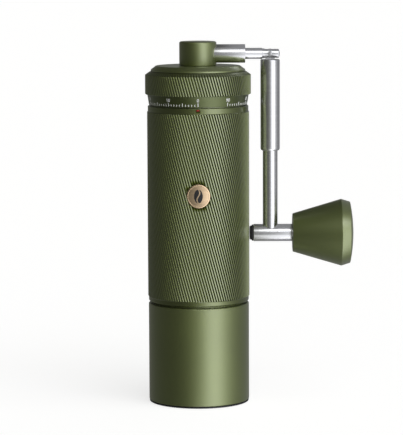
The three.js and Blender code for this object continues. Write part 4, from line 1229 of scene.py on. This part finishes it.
def floor_material():
    """Plain pale paper, lit from within a little so that only soft shadows show on it."""
    made = Shader("pale_paper", (0.42, 0.418, 0.405), 0.8, 0.0, Specular_IOR_Level=0.0,
                  Emission_Color=(1, 1, 0.995, 1), Emission_Strength=0.74)
    return made.material


bm = bmesh.new()
bmesh.ops.create_grid(bm, x_segments=1, y_segments=1, size=60)
floor_piece = placed("paper_floor", mesh_from(bm, "paper"))
floor_piece.data.materials.append(floor_material())
floor_piece.location.z = -0.0003
floor_piece.visible_glossy = False
floor_piece.visible_diffuse = False

# The studio's brightness round the grinder: degrees from the front, to the right, and a grey value.
STUDIO = (
    (-180, 0.26), (-165, 0.2), (-150, 0.18), (-112, 0.13), (-62, 0.09), (-30, 0.13), (-17, 0.18),
    (-8, 0.25), (2, 0.42), (12, 0.78), (23, 1.55), (34, 1.85), (47, 1.72), (57, 1.05), (70, 0.65),
    (84, 0.38), (105, 0.25), (135, 0.25), (155, 0.3), (180, 0.26),
)


def studio_world():
    """A softly lit room: one wide strip light right of the camera, and dark to the left."""
    world = bpy.data.worlds.new("studio")
    bpy.context.scene.world = world
    world.use_nodes = True
    nodes, links = world.node_tree.nodes, world.node_tree.links
    place = nodes.new("ShaderNodeTexCoord").outputs["Generated"]
    split = nodes.new("ShaderNodeSeparateXYZ")
    links.new(place, split.inputs[0])

    def math_node(operation, first, second=None):
        node = nodes.new("ShaderNodeMath")
        node.operation = operation
        for socket, value in zip(node.inputs, (first, second)):
            if isinstance(value, (int, float)):
                socket.default_value = value
            elif value is not None:
                links.new(value, socket)
        return node.outputs[0]

    def times(first, second):
        return math_node("MULTIPLY", first, second)

    def smooth(value, low, high, to_low=0.0, to_high=1.0):
        node = nodes.new("ShaderNodeMapRange")
        node.interpolation_type = "SMOOTHSTEP"
        for socket, number in zip(node.inputs[1:5], (low, high, to_low, to_high)):
            socket.default_value = number
        links.new(value, node.inputs["Value"])
        return node.outputs["Result"]

    azimuth = math_node("ARCTAN2", split.outputs["X"], times(split.outputs["Y"], -1))
    turn = math_node("MULTIPLY_ADD", azimuth, 1 / (2 * pi))
    turn.node.inputs[2].default_value = 0.5
    ramp = nodes.new("ShaderNodeFloatCurve")
    curve = ramp.mapping.curves[0]
    brightest = 3
    ramp.mapping.extend = "HORIZONTAL"
    points = [((angle + 180) / 360, value / brightest) for angle, value in STUDIO]
    curve.points[0].location = points[0]
    curve.points[1].location = points[-1]
    for point in points[1:-1]:
        curve.points.new(*point)
    for point in curve.points:
        point.handle_type = "AUTO_CLAMPED"
    ramp.mapping.update()
    links.new(turn, ramp.inputs["Value"])
    around = times(ramp.outputs["Value"], brightest)

    # Overhead the room is grey, with one softbox above the camera, and the table glows a little from below.
    up = math_node("ARCSINE", split.outputs["Z"])
    level = smooth(up, radians(12), radians(22), 1, 0)
    ahead = smooth(math_node("ABSOLUTE", azimuth), radians(6), radians(20), 0.7, 0.05)
    table = times(smooth(up, radians(-34), radians(-18), 1, 0), ahead)
    lighter = smooth(azimuth, radians(-60), radians(5), 0.07, 0.3)
    overhead = times(smooth(up, radians(12), radians(22)), lighter)
    off_centre = math_node("ABSOLUTE", math_node("SUBTRACT", azimuth, radians(25)))
    front = smooth(off_centre, radians(27), radians(40), 1, 0)
    below_top = smooth(up, radians(42), radians(54), 1, 0)
    band = times(smooth(up, radians(18), radians(27)), below_top)
    softbox = times(times(band, front), 2.2)
    total = math_node("ADD", times(around, level), math_node("ADD", softbox, overhead))
    total = math_node("ADD", total, table)
    seen = nodes.new("ShaderNodeLightPath").outputs["Is Camera Ray"]
    total = math_node("MAXIMUM", total, seen)
    tint = nodes.new("ShaderNodeCombineColor")
    blue = smooth(azimuth, radians(-20), radians(10), 0.96, 1.06)
    for channel, share in zip(tint.inputs, (0.99, 1, blue)):
        links.new(times(total, share), channel)
    background = nodes["Background"]
    links.new(tint.outputs["Color"], background.inputs["Color"])
    background.inputs["Strength"].default_value = 1.0


studio_world()

sun = placed("soft_key", bpy.data.lights.new("soft_key", "SUN"))
sun.data.energy = 0.9
sun.data.angle = radians(55)
sun.rotation_euler = Vector((1.1, -1.0, 2.0)).to_track_quat("Z", "Y").to_euler()
sun.visible_glossy = False

LOOKS_DOWN = 6.65  # degrees
ROLL = -0.24  # degrees
camera = placed("camera", bpy.data.cameras.new("camera"))
camera.data.sensor_width = 36
camera.data.lens = 201.35
camera.location = (0.0016, -1.3086, 0.2525)
pitch = Euler((radians(90 - LOOKS_DOWN), 0, 0)).to_matrix()
camera.rotation_euler = (pitch @ Matrix.Rotation(radians(ROLL), 3, "Z")).to_euler()
bpy.context.scene.camera = camera
bpy.context.scene.view_settings.view_transform = "Standard"
